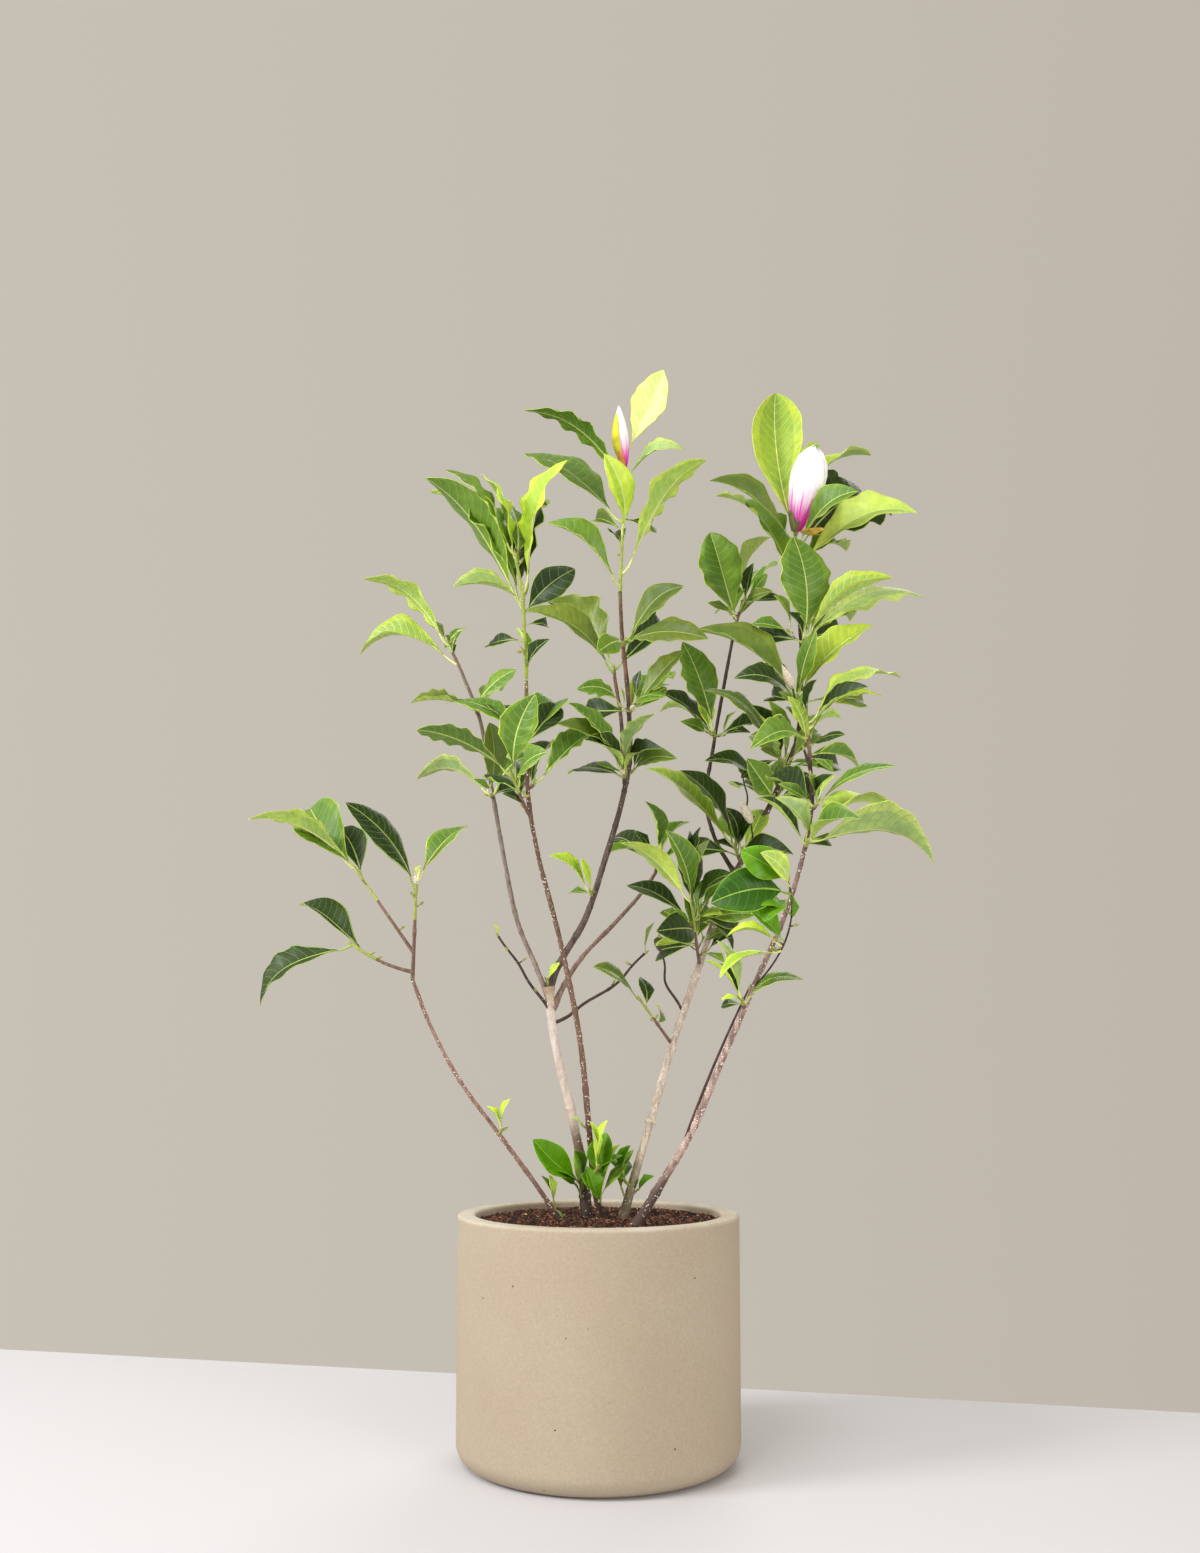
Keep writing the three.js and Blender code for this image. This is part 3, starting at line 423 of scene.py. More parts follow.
REGIONS = {region: named(names) for region, names in {
    "low_left": "low_left",
    "left": "left_top left_upper left_middle",
    "third": "third_top third_left third_upper third_right",
    "top": "top dark_top",
    "middle": "middle_top middle_right fork right_bough bough_foot",
    "crown": "crown crown_middle crown_low",
    "back": "back_top back_middle",
    "right": "tall_upper tall_middle front_top front_upper front_right",
    "inner": "tall_low inner tall_foot front_foot",
    "young": "front_low foot_middle foot_slender",
    "foot": "foot_left foot_tall twig_pale_left twig_pale_right",
}.items()}
FINER_OF = {"young": tuple(name for name, shoot in SHOOTS.items() if shoot.rows)}
BUD_TWIGS = ("twig_of_upper_bud", "twig_of_lower_bud")
BARE = tuple(name for name in SHOOTS if name not in FINER_OF["young"]) + named(
    "twig_pale_left twig_pale_right front_low")
OPEN = {
    0.0: "low_left twig_pale_right front_low",
    0.5: "left_top tall_foot front_foot foot_slender bough_foot front_right foot_left foot_middle foot_tall",
    0.6: "back_top third_top",
    0.7: "top",
}
YOUNG = REGIONS["young"] + REGIONS["foot"]
LEAFY = REGIONS["right"] + REGIONS["back"] + named(
    "fork crown_middle crown_low tall_low inner middle_right right_bough")
FURRY = BUD_TWIGS + named("fork middle_right left_middle low_left")


def unit(vector: Array) -> Array:
    """Vector of length one along another."""
    return vector / max(float(np.linalg.norm(vector)), 1e-12)


def place(across: float, up: float, back: float) -> Array:
    """Real place of a point seen across and up on the elevation, at a depth behind the pot's axis."""
    scale = (EYE.distance + back) / EYE.distance
    return np.array([across * scale, back, EYE.height + (up - EYE.height) * scale])


def seen_from(point: Array) -> Array:
    """Where a real place is seen on the elevation: across, up and back."""
    scale = (EYE.distance + point[1]) / EYE.distance
    return np.array([point[0] / scale, EYE.height + (point[2] - EYE.height) / scale, point[1]])


def aimed(root: Array, heading: float, length: float, lean: float) -> Array:
    """Tip of a leaf or a flower.

    Args:
        root: Where it starts.
        heading: Which way it is seen to point, in degrees.
        length: How long it is seen on the elevation.
        lean: How far it leans to the front, in degrees.

    Returns:
        The place of the tip.
    """
    across, up, back = seen_from(root)
    swing = math.radians(heading)
    return place(across + length * math.cos(swing), up + length * math.sin(swing),
        back - length * math.tan(math.radians(lean)))


def deepened(spot: Sequence[float]) -> Array:
    """Spot of the elevation with its depth grown as the stems lean apart."""
    rise = min(max((spot[1] - SOIL_TOP) / DEEPER[1], 0.0), 1.0)
    return np.array([spot[0], spot[1], spot[2] * (1 + DEEPER[0] * rise)])


class Series:
    """Even series of numbers from a seed."""

    def __init__(self, seed: int) -> None:
        """Takes the seed."""
        self.state = seed

    def draw(self, low: float = 0.0, high: float = 1.0) -> float:
        """Next number between two others."""
        self.state = (self.state * 1664525 + 1013904223) & 0xFFFFFFFF
        return low + (high - low) * (self.state / 4294967296)


class Curve:
    """Smooth centripetal curve through the corners of a route."""

    DIVISIONS = 200

    def __init__(self, corners: Sequence[Array]) -> None:
        """Takes the corners and measures the curve.

        Args:
            corners: The points that it goes through.
        """
        self.knots = np.array([2 * corners[0] - corners[1], *corners, 2 * corners[-1] - corners[-2]])
        self.times = np.linspace(0, 1, self.DIVISIONS + 1)
        dense = np.array([self.at(time) for time in self.times])
        steps = np.linalg.norm(np.diff(dense, axis=0), axis=1)
        self.lengths = np.concatenate([[0.0], np.cumsum(steps)])

    def at(self, time: float) -> Array:
        """Point of the curve at a time.

        Args:
            time: Share of the corners passed.

        Returns:
            The point.
        """
        spans = len(self.knots) - 3
        span = min(int(time * spans), spans - 1)
        weight = time * spans - span
        before, start, end, after = self.knots[span:span + 4]
        spread = np.linalg.norm(np.diff(self.knots[span:span + 4], axis=0), axis=1)
        gaps = [math.sqrt(float(gap)) for gap in spread]
        leave = (start - before) / gaps[0] - (end - before) / (gaps[0] + gaps[1]) + (end - start) / gaps[1]
        arrive = (end - start) / gaps[1] - (after - start) / (gaps[1] + gaps[2]) + (after - end) / gaps[2]
        leave, arrive = leave * gaps[1], arrive * gaps[1]
        square = -3 * start + 3 * end - 2 * leave - arrive
        cube = 2 * start - 2 * end + leave + arrive
        return start + leave * weight + square * weight**2 + cube * weight**3

    def spaced(self, step: float) -> Array:
        """Evenly spaced points, about a step apart."""
        wanted = np.linspace(0, self.lengths[-1], max(2, int(self.lengths[-1] / step + 0.5)) + 1)
        return np.array([self.at(time) for time in np.interp(wanted, self.lengths, self.times)])


def tube(points: Array, radii: Sequence[float], sides: int) -> tuple[Array, Faces]:
    """Round tapering tube along points, with flat ends.

    Args:
        points: The middle line, one row each.
        radii: Radius at each point.
        sides: Corners of a ring.

    Returns:
        Its points and its faces, which face outwards.
    """
    turns = 2 * math.pi * np.arange(sides) / sides
    across = np.array([1.0, 0.0, 0.0])
    rings = []
    for row, point in enumerate(points):
        along = unit(points[min(row + 1, len(points) - 1)] - points[max(row - 1, 0)])
        across = unit(across - along * float(across @ along))
        side = np.cross(along, across)
        rings.append(point + radii[row] * (np.outer(np.cos(turns), across) + np.outer(np.sin(turns), side)))
    return np.concatenate(rings), ring_faces(len(points), sides)


def cells(grid: Array) -> Array:
    """Corners of each cell of a grid of point numbers."""
    return np.stack([grid[:-1, :-1], grid[:-1, 1:], grid[1:, 1:], grid[1:, :-1]], axis=2)


def ring_faces(rows: int, sides: int) -> Faces:
    """Faces that join rings of points, anticlockwise about their stacking, and close both ends.

    Args:
        rows: Number of rings.
        sides: Corners of a ring.

    Returns:
        The faces.
    """
    grid = np.arange(rows * sides).reshape(rows, sides)
    around = cells(np.concatenate([grid, grid[:, :1]], axis=1)).reshape(-1, 4)
    return [tuple(face) for face in [*around.tolist(), grid[0, ::-1].tolist(), grid[-1].tolist()]]


def surface_tree(points: Array, faces: Faces) -> BVHTree:
    """Search tree of a surface, for the tests of what touches."""
    return BVHTree.FromPolygons([tuple(point) for point in points.tolist()], faces)


@dataclass
class LeafFrame:
    """Leaf as it grows: its seat on the twig, its root, its way, its top and its side."""

    seat: Array
    root: Array
    along: Array
    top: Array
    size: float
    arch: float
    tone: Tone
    broad: bool

    def __post_init__(self) -> None:
        """Works out its side."""
        self.side = np.cross(self.top, self.along)

    def spine(self, share: float) -> Array:
        """Point of the rib at a share of the leaf's length."""
        lift = 4 * self.arch * self.size * share * (1 - share)
        return self.root + self.along * (share * self.size) + self.top * lift

    def plain_shape(self) -> tuple[Array, Faces]:
        """Plain closed leaf of the plan, which the tests of what touches use.

        Returns:
            Its points and faces.
        """
        stations = LEAF.small_stations if self.size < LEAF.small_length else LEAF.stations
        half = LEAF.width * self.size / 2
        thick = max(LEAF.least_thickness, self.size * LEAF.thickness) / 2
        rings = [(0.0, LEAF.stalk, 0.0, LEAF.stalk), (LEAF.stalk_share, LEAF.stalk, 0.0, LEAF.stalk)]
        rings += [(share, half * wide, half * wide * LEAF.fold, thick) for share, wide in stations]
        points = []
        for share, reach, fold, height in [*rings, (1.0, 0.01, 0.0, 0.01)]:
            middle = self.spine(share)
            points += [middle + self.side * reach + self.top * fold, middle + self.top * height]
            points += [middle - self.side * reach + self.top * fold, middle - self.top * height]
        return np.array(points), ring_faces(len(rings) + 1, 4)

    def spots(self) -> Array:
        """Places that stand for the leaf where others keep away from it.

        Returns:
            The places.
        """
        half = LEAF.width * self.size / 2
        found = [self.root + self.along * self.size]
        for share, wide in LEAF.spots:
            middle = self.root + self.along * (share * self.size)
            found += [middle + self.side * (edge * wide * half) for edge in (-1, 0, 1)]
        return np.array(found)


def own_lean(length: float, index: int) -> float:
    """Lean of a leaf that is seen shorter than it is.

    Args:
        length: Its length on the elevation.
        index: Its place on the twig, which settles whether it leans to the front or to the back.

    Returns:
        The lean towards the front in degrees.
    """
    share, base, least = FULL_LENGTH
    size = math.degrees(math.acos(length / max(length * least, length * share + base)))
    return size if math.cos(math.radians(index * GOLDEN_ANGLE)) >= 0 else -size


@dataclass
class Twig:
    """Twig of the plan, with the distances of its leaf roots."""

    start: Array
    end: Array
    rows: tuple[Row, ...]
    foot: float
    bow: float = 0.0
    crook: float = 0.0
    girth: float = 1.0

    def __post_init__(self) -> None:
        """Spaces the leaf roots and lengthens the twig where they need it."""
        length = float(np.linalg.norm(self.end - self.start))
        self.roots = self.spaced_roots(length)
        self.length = max([length, *self.roots])
        self.end = self.start + (self.end - self.start) * (self.length / length)
        steep = abs(self.end[2] - self.start[2]) > TWIG.steep * self.length
        self.sag = 0.0 if steep else TWIG.sag * self.length

    def spaced_roots(self, length: float) -> list[float]:
        """Distances of the roots along the twig, pushed apart towards its foot.

        Args:
            length: Length of the twig.

        Returns:
            A distance for each row.
        """
        roots = [0.0] * len(self.rows)
        limit = math.inf
        for index in sorted(range(len(self.rows)), key=lambda place: -self.rows[place][0]):
            roots[index] = min(self.rows[index][0] * length, limit)
            limit = roots[index] - TWIG.root_space
        lift = max(0.0, TWIG.bare_foot - min(roots, default=TWIG.bare_foot))
        return [root + lift for root in roots]

    def at(self, share: float) -> Array:
        """Point of the twig, bent aside and sagging between its ends.

        Args:
            share: Share of its length.

        Returns:
            The point.
        """
        middle = 4 * share * (1 - share)
        aside = (self.bow + self.crook * math.sin(10 * share + 1)) * middle
        return self.start + (self.end - self.start) * share + np.array([aside, 0.0, -self.sag * middle])

    def corner(self, share: float) -> Array:
        """Point on the straight steps that the plan draws the twig in.

        Args:
            share: Share of its length.

        Returns:
            The point.
        """
        steps = max(1, int(self.length / TWIG.step + 0.5))
        low = min(int(share * steps), steps - 1)
        weight = share * steps - low
        return self.at(low / steps) * (1 - weight) + self.at((low + 1) / steps) * weight

    def leaf_at(self, distance: float, row: Row, index: int, letter: str) -> LeafFrame:
        """Works out how a leaf lies.

        Args:
            distance: Distance of its root along the twig.
            row: Share, heading, length, turn and, where given, lean.
            index: Its place on the twig.
            letter: Letter of its tone, a capital for a broad leaf.

        Returns:
            The leaf.
        """
        _, heading, length, turn, *given = row
        share = distance / self.length
        root = self.corner(share)
        tip = aimed(root, heading, length, given[0] if given else own_lean(length, index))
        along = unit(tip - root)
        facing = unit(EYE_PLACE - root)
        facing = unit(facing - along * float(facing @ along))
        level = math.cos(math.radians(heading))
        upper = np.cross(along, facing) * (-1 if level > 0 else 1)
        top = upper * math.cos(math.radians(turn)) + facing * math.sin(math.radians(turn))
        arch = LEAF.arch[0] + (LEAF.arch[1] - LEAF.arch[0]) * abs(level)
        return LeafFrame(self.at(share), root, along, top, float(np.linalg.norm(tip - root)), arch,
            Tone(letter.lower()), letter.isupper())

    def leaves(self, letters: Iterable[str]) -> list[LeafFrame]:
        """Leaves of all rows, each with the next letter."""
        given = enumerate(zip(self.rows, self.roots, letters))
        return [self.leaf_at(root, row, index, letter) for index, (row, root, letter) in given]


def limb_curve(limb: Limb) -> Curve:
    """Curve that a limb follows on the elevation."""
    return Curve([deepened(corner) for corner in limb.route])


class Plan:
    """The whole plant as it is planned: limbs, twigs and the frames of all leaves."""

    def __init__(self) -> None:
        """Grows the plan in the order of its rows."""
        self.axes: dict[str, tuple[Array, Array]] = {}
        self.shapes: list[tuple[str, BVHTree]] = []
        self.twigs: dict[str, list[Twig]] = {}
        self.leaves: dict[str, list[LeafFrame]] = {}
        self.places: list[Array] = []
        self.reaches: list[float] = []
        self.owners: list[str] = []
        for name, limb in LIMBS.items():
            self.follow_limb(name, limb)
        for name, mass in MASSES.items():
            self.start_mass(name, mass)
        for name, (_, points) in self.axes.items():
            self.keep_away(name, points, DEALT.from_limb)
        for flower in FLOWERS:
            self.keep_before(flower)
        for name, mass in MASSES.items():
            letters = iter(mass.tones)
            for leaf in [leaf for twig in self.twigs[name] for leaf in twig.leaves(letters)]:
                self.add_leaf(name, leaf)
        for number, (name, mass) in enumerate(MASSES.items()):
            self.grow_dealt(number, name, mass.dealt)
        for share, names in OPEN.items():
            for name in named(names):
                self.open_up(name, share)
        for name, shoot in SHOOTS.items():
            self.grow_shoot(name, shoot)
        for number, name in enumerate(MASSES):
            self.grow_spurs(number, name)

    def open_up(self, name: str, share: float) -> None:
        """Keeps of the dealt leaves those that lean back, made smaller, where the sky shows through.

        Args:
            name: The mass.
            share: Share of their size that they keep, and none stays at 0.
        """
        shown = len(MASSES[name].tones)
        behind = [leaf for leaf in self.leaves[name][shown:] if leaf.along[1] > 0 and share > 0]
        for leaf in behind:
            leaf.size *= share
        self.leaves[name] = self.leaves[name][:shown] + behind

    def keep_before(self, flower: "FlowerSpot") -> None:
        """Keeps the place of a flower, and the room before it, free of dealt leaves.

        Args:
            flower: The flower.
        """
        root = self.twigs[flower.mass][0].corner(flower.share)
        toward = unit(EYE_PLACE - root)
        up = flower.length * unit(np.array([math.cos(math.radians(flower.heading)), 0.0, 1.0]))
        ways = [(share, out) for share in SPUR.along_flower for out in SPUR.before_flower]
        spots = [root + up * share + toward * out for share, out in ways]
        self.keep_away("flower", np.array(spots), SPUR.flower_room)

    def follow_limb(self, name: str, limb: Limb) -> None:
        """Keeps a limb's axis and its shape for the tests.

        Args:
            name: Its node.
            limb: Its route and radii.
        """
        curve = limb_curve(limb)
        seen = curve.spaced(AXIS_STEP)
        self.axes[name] = (seen, np.array([place(*spot) for spot in seen]))
        line = np.array([place(*spot) for spot in curve.spaced(LIMB_STEP)])
        radii = np.linspace(*limb.radii, len(line)) + CLEARANCE
        self.shapes.append((name, surface_tree(*tube(line, radii, LIMB_SIDES))))

    def limb_point(self, name: str, height: float) -> Array:
        """Place on a limb's axis.

        Args:
            name: The limb.
            height: Its height on the elevation.

        Returns:
            The place.
        """
        seen, points = self.axes[name]
        row = next(index for index in range(1, len(seen)) if seen[index][1] >= height)
        share = (height - seen[row - 1][1]) / (seen[row][1] - seen[row - 1][1])
        return points[row - 1] * (1 - share) + points[row] * share

    def start_mass(self, name: str, mass: Mass) -> None:
        """Grows the stem and the side twigs of a mass.

        Args:
            name: Its node.
            mass: Its plan.
        """
        on_tip = mass.height is None
        start = self.axes[mass.limb][1][-1] if on_tip else self.limb_point(mass.limb, mass.height)
        foot = LIMBS[mass.limb].radii[1] if on_tip else TWIG.foot
        stem = Twig(start, place(*deepened(mass.to)), mass.rows, foot, mass.bow, mass.crook, mass.girth)
        self.twigs[name] = [stem]
        for side in mass.twigs:
            start = stem.corner(side.share)
            self.twigs[name].append(Twig(start, place(*deepened(side.to)), side.rows, TWIG.foot))
        self.leaves[name] = []
        for twig in self.twigs[name]:
            line = np.array([twig.at(share) for share in np.linspace(0.03, 1, 5)])
            self.shapes.append((name, surface_tree(*tube(line, [TWIG.foot] * 5, 4))))

    def keep_away(self, owner: str, points: Array, reach: float) -> None:
        """Adds places that dealt leaves keep away from.

        Args:
            owner: What they belong to.
            points: The places.
            reach: How far away is enough.
        """
        self.places += list(points)
        self.reaches += [reach] * len(points)
        self.owners += [owner] * len(points)

    def add_leaf(self, name: str, leaf: LeafFrame, tested: bool = False) -> bool:
        """Adds a leaf to its mass, unless it is tested and touches another mass or a limb.

        Args:
            name: The mass.
            leaf: The leaf.
            tested: Whether it may be left out.

        Returns:
            Whether it was added.
        """
        tree = surface_tree(*leaf.plain_shape())
        if tested and any(owner != name and tree.overlap(other) for owner, other in self.shapes):
            return False
        self.shapes.append((name, tree))
        self.leaves[name].append(leaf)
        self.keep_away(name, leaf.spots(), DEALT.apart)
        return True

    def grow_shoot(self, name: str, shoot: Shoot) -> None:
        """Grows a finer shoot and its leaves.

        Args:
            name: Its name.
            shoot: Its plan.
        """
        start = self.limb_point(shoot.limb, shoot.height)
        end = start + np.array([shoot.reach[0], shoot.reach[2], shoot.reach[1]])
        twig = Twig(start, end, shoot.rows, shoot.foot, shoot.bow, shoot.crook)
        self.twigs[name] = [twig]
        self.leaves[name] = twig.leaves(shoot.tones)

    def grow_spurs(self, number: int, name: str) -> None:
        """Grows finer spurs with small leaves from each twig of a mass, where there is room.

        Args:
            number: Place of the mass, which settles its seed.
            name: The mass.
        """
        draw = Series(SPUR.seed * (number + 1)).draw
        tones = SPUR.young_tones if name in YOUNG else SPUR.tones
        leafy = name in LEAFY
        for twig in list(self.twigs[name]):
            for count in range(max(1, round(twig.length / SPUR.space)) * (SPUR.tries if leafy else 1)):
                start = twig.at(draw(*SPUR.shares))
                turn = draw(0, 2 * math.pi)
                way = unit(np.array([math.cos(turn), math.sin(turn), draw(*SPUR.rises)]))
                heading = math.degrees(math.atan2(way[2], way[0])) + draw(-SPUR.swing, SPUR.swing)
                rows = tuple(
                    (share, heading + swing, draw(*SPUR.sizes), draw(*SPUR.turns), draw(*SPUR.leans))
                    for share, swing in (SPUR.leaves if leafy else ()))
                length = draw(*SPUR.lengths) * (1 if leafy else SPUR.bare_length)
                spur = Twig(start, start + way * length, rows, SPUR.foot)
                leaves = spur.leaves((tones * 2)[count % len(tones):])
                if all(self.is_free(name, leaf.spots(), SPUR.near) for leaf in leaves):
                    self.twigs[name].append(spur)
                    self.leaves[name] += leaves
                    for leaf in leaves:
                        self.keep_away(name, leaf.spots(), DEALT.apart)

    def is_free(self, name: str, spots: Array, near: float = 1.0) -> bool:
        """Whether a leaf's places are far enough from all others.

        Args:
            name: The leaf's mass.
            spots: Its places.
            near: Share of the usual distance that is enough.

        Returns:
            True where there is room for it.
        """
        reach = np.where(np.array(self.owners) == name, DEALT.apart_in_mass, self.reaches) * near
        apart = np.linalg.norm(np.array(self.places)[:, None] - spots[None], axis=2)
        return bool((apart > reach[:, None]).all())

    def grow_dealt(self, number: int, name: str, dealt: int) -> None:
        """Deals leaves round each twig, so that the crown is as full from the sides and the back.

        Args:
            number: Place of the mass, which settles its seed.
            name: The mass.
            dealt: How many leaves it may have.
        """
        draw = Series(DEALT.seed * (number + 1)).draw
        tones = DEALT.young_tones if name in YOUNG else DEALT.tones
        for count in range(dealt):
            twig = self.twigs[name][count % len(self.twigs[name])]
            for _ in range(DEALT.tries):
                root = draw(DEALT.lowest, 1) * twig.length
                size = draw(*DEALT.sizes)
                forward = count % DEALT.one_in_front == 1 and dealt > 2
                lean = draw(*DEALT.leans) * (1 if forward else -1)
                heading = 90 + draw(-DEALT.spread, DEALT.spread)
                row = (root, heading, size * math.cos(math.radians(lean)), draw(*DEALT.turns), lean)
                leaf = twig.leaf_at(root, row, count, tones[(count + number) % len(tones)])
                if any(abs(other - root) <= DEALT.root_space for other in twig.roots):
                    continue
                if self.is_free(name, leaf.spots()) and self.add_leaf(name, leaf, True):
                    twig.roots.append(root)
                    break


@dataclass
class Shell:
    """Closed surface in mm: its points, its faces and the material number of each face."""

    points: Array
    faces: Faces
    bands: list[int] = field(default_factory=list)

    def __post_init__(self) -> None:
        """Gives all faces the first material where none is named."""
        self.bands = self.bands or [0] * len(self.faces)


@dataclass
class Gather:
    """Collects shells and joins them into one piece of a name."""

    name: str
    points: list[Array] = field(default_factory=list)
    faces: Faces = field(default_factory=list)
    bands: list[int] = field(default_factory=list)
    finishes: list[Material] = field(default_factory=list)
    total: int = 0

    def finish_number(self, finish: Material) -> int:
        """Number of a material in the piece, which is added where it is new."""
        self.finishes += [] if finish in self.finishes else [finish]
        return self.finishes.index(finish)

    def add(self, shell: Shell, finishes: Sequence[Material]) -> None:
        """Adds a shell.

        Args:
            shell: The surface.
            finishes: The material of each of its bands.
        """
        numbers = {band: self.finish_number(finishes[band]) for band in sorted(set(shell.bands))}
        self.faces += [tuple(corner + self.total for corner in face) for face in shell.faces]
        self.bands += [numbers[band] for band in shell.bands]
        self.points.append(shell.points)
        self.total += len(shell.points)

    def make(self) -> Piece:
        """Makes the piece.

        Returns:
            The piece, in metres and shaded smooth.
        """
        mesh = bpy.data.meshes.new(self.name)
        mesh.from_pydata((np.concatenate(self.points) * MM).tolist(), [], self.faces)
        for finish in self.finishes:
            mesh.materials.append(finish)
        mesh.polygons.foreach_set("material_index", self.bands)
        mesh.polygons.foreach_set("use_smooth", [True] * len(self.faces))
        mesh.update()
        return placed(self.name, mesh)


def placed(name: str, data: Any) -> Piece:
    """Puts a mesh, a lamp or a camera in the scene at the origin.

    Args:
        name: Name of the object.
        data: What it shows.

    Returns:
        The object.
    """
    piece = bpy.data.objects.new(name, data)
    bpy.context.scene.collection.objects.link(piece)
    return piece


def settle(piece: Piece, slot: str, nodes: Sequence[str] = ()) -> None:
    """Says what a finished piece rides on and hides the nodes that it stands for.

    Args:
        piece: The finished piece.
        slot: The record's slot, not used.
        nodes: Nodes that it replaces.
    """
    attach(piece, BODY)
    if nodes:
        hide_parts(*nodes)
    LOG.info("%s: %d faces, stands for %d nodes", piece.name, len(piece.data.polygons), len(nodes))


class Nodes:
    """Nodes of one tree, added with their values and links."""

    def __init__(self, tree: Any) -> None:
        """Takes the tree."""
        self.tree = tree

    def socket(self, label: str, kind: str, way: str = "INPUT") -> str:
        """Adds a named input or output to the tree and gives its identifier."""
        made = self.tree.interface.new_socket(name=label, in_out=way, socket_type="NodeSocket" + kind)
        return made.identifier

    def add(self, kind: str, values: dict[str | int, Any], **settings: Any) -> Any:
        """Adds a node.

        Args:
            kind: Its type.
            values: A value or a socket for each input.
            **settings: Its properties.

        Returns:
            The sockets that it puts out.
        """
        node = self.tree.nodes.new(kind)
        for key, value in settings.items():
            setattr(node, key, value)
        for key, value in values.items():
            if isinstance(value, bpy.types.NodeSocket):
                self.tree.links.new(value, node.inputs[key])
            else:
                node.inputs[key].default_value = value
        return node.outputs

    def math(self, operation: str, *values: Any) -> Any:
        """Result of a sum on values."""
        return self.add("ShaderNodeMath", dict(enumerate(values)), operation=operation)[0]

    def blend(self, factor: Any, first: Any, second: Any) -> Any:
        """Mix of two colours by a factor socket."""
        return self.add("ShaderNodeMix", {0: factor, 6: first, 7: second}, data_type="RGBA")[2]

    def ramp(self, value: Any, stops: Sequence[tuple[float, Colour]]) -> Any:
        """Colour ramp along a value.

        Args:
            value: The value socket.
            stops: Positions from 0 to 1 with their colours.

        Returns:
            The colour socket.
        """
        made = self.add("ShaderNodeValToRGB", {0: value})[0]
        elements = made.node.color_ramp.elements
        while len(elements) < len(stops):
            elements.new(0.5)
        for element, (at, colour) in zip(elements, stops):
            element.position = at
            element.color = colour
        return made


class Effects:
    """Shader node groups that several finishes share, each built once."""

    KINDS = {"Place": "Vector", "Base": "Color", "Patch": "Color"}

    def __init__(self) -> None:
        """Builds the groups."""
        self.patches = self.group("soft_patches", "Share Base Patch", "Color", self.soft_patches)
        self.grain = self.group("fine_grain", "", "Float", self.fine_grain)
        self.specks = self.group("sparse_specks", "Size Share", "Float", self.sparse_specks)

    def group(self, name: str, more: str, result: str, build: Callable[[Nodes, Any], Any]) -> Any:
        """Builds a group with named sockets.

        Args:
            name: Name of the group.
            more: Names of its inputs after its place and scale.
            result: Kind of its output.
            build: Makes its nodes from its inputs and gives the socket that it puts out.

        Returns:
            The group.
        """
        tree = bpy.data.node_groups.new(name, "ShaderNodeTree")
        nodes = Nodes(tree)
        for label in ["Place", "Scale", *more.split()]:
            nodes.socket(label, self.KINDS.get(label, "Float"))
        nodes.socket("Result", result, "OUTPUT")
        made = build(nodes, tree.nodes.new("NodeGroupInput").outputs)
        tree.links.new(made, tree.nodes.new("NodeGroupOutput").inputs[0])
        return tree

    @staticmethod
    def noise(nodes: Nodes, given: Any, scale: Any, detail: float) -> Any:
        """Noise at the place of a group."""
        values = {"Vector": given["Place"], "Scale": scale, "Detail": detail}
        return nodes.add("ShaderNodeTexNoise", values)["Fac"]

    def soft_patches(self, nodes: Nodes, given: Any) -> Any:
        """Base colour with soft patches of a second one.

        Args:
            nodes: Nodes of the group.
            given: Its inputs.

        Returns:
            The colour.
        """
        spread = {"Value": self.noise(nodes, given, given["Scale"], 4.0), "From Min": 0.35, "From Max": 0.66,
            "To Max": given["Share"]}
        share = nodes.add("ShaderNodeMapRange", spread, interpolation_type="SMOOTHSTEP")[0]
        return nodes.blend(share, given["Base"], given["Patch"])

    def fine_grain(self, nodes: Nodes, given: Any) -> Any:
        """Height of a fine grain on a coarser one.

        Args:
            nodes: Nodes of the group.
            given: Its inputs.

        Returns:
            The height.
        """
        coarse = self.noise(nodes, given, given["Scale"], 3.0)
        finer = nodes.math("MULTIPLY", given["Scale"], 4.7)
        return nodes.math("ADD", coarse, self.noise(nodes, given, finer, 2.0))

    @staticmethod
    def sparse_specks(nodes: Nodes, given: Any) -> Any:
        """Mask of sparse round specks.

        Args:
            nodes: Nodes of the group.
            given: Its inputs.

        Returns:
            The mask.
        """
        found = nodes.add("ShaderNodeTexVoronoi", {"Vector": given["Place"], "Scale": given["Scale"]})
        tone = nodes.add("ShaderNodeSeparateColor", {0: found["Color"]})[0]
        near = nodes.math("LESS_THAN", found["Distance"], given["Size"])
        return nodes.math("MULTIPLY", near, nodes.math("LESS_THAN", tone, given["Share"]))


EFFECTS = Effects()


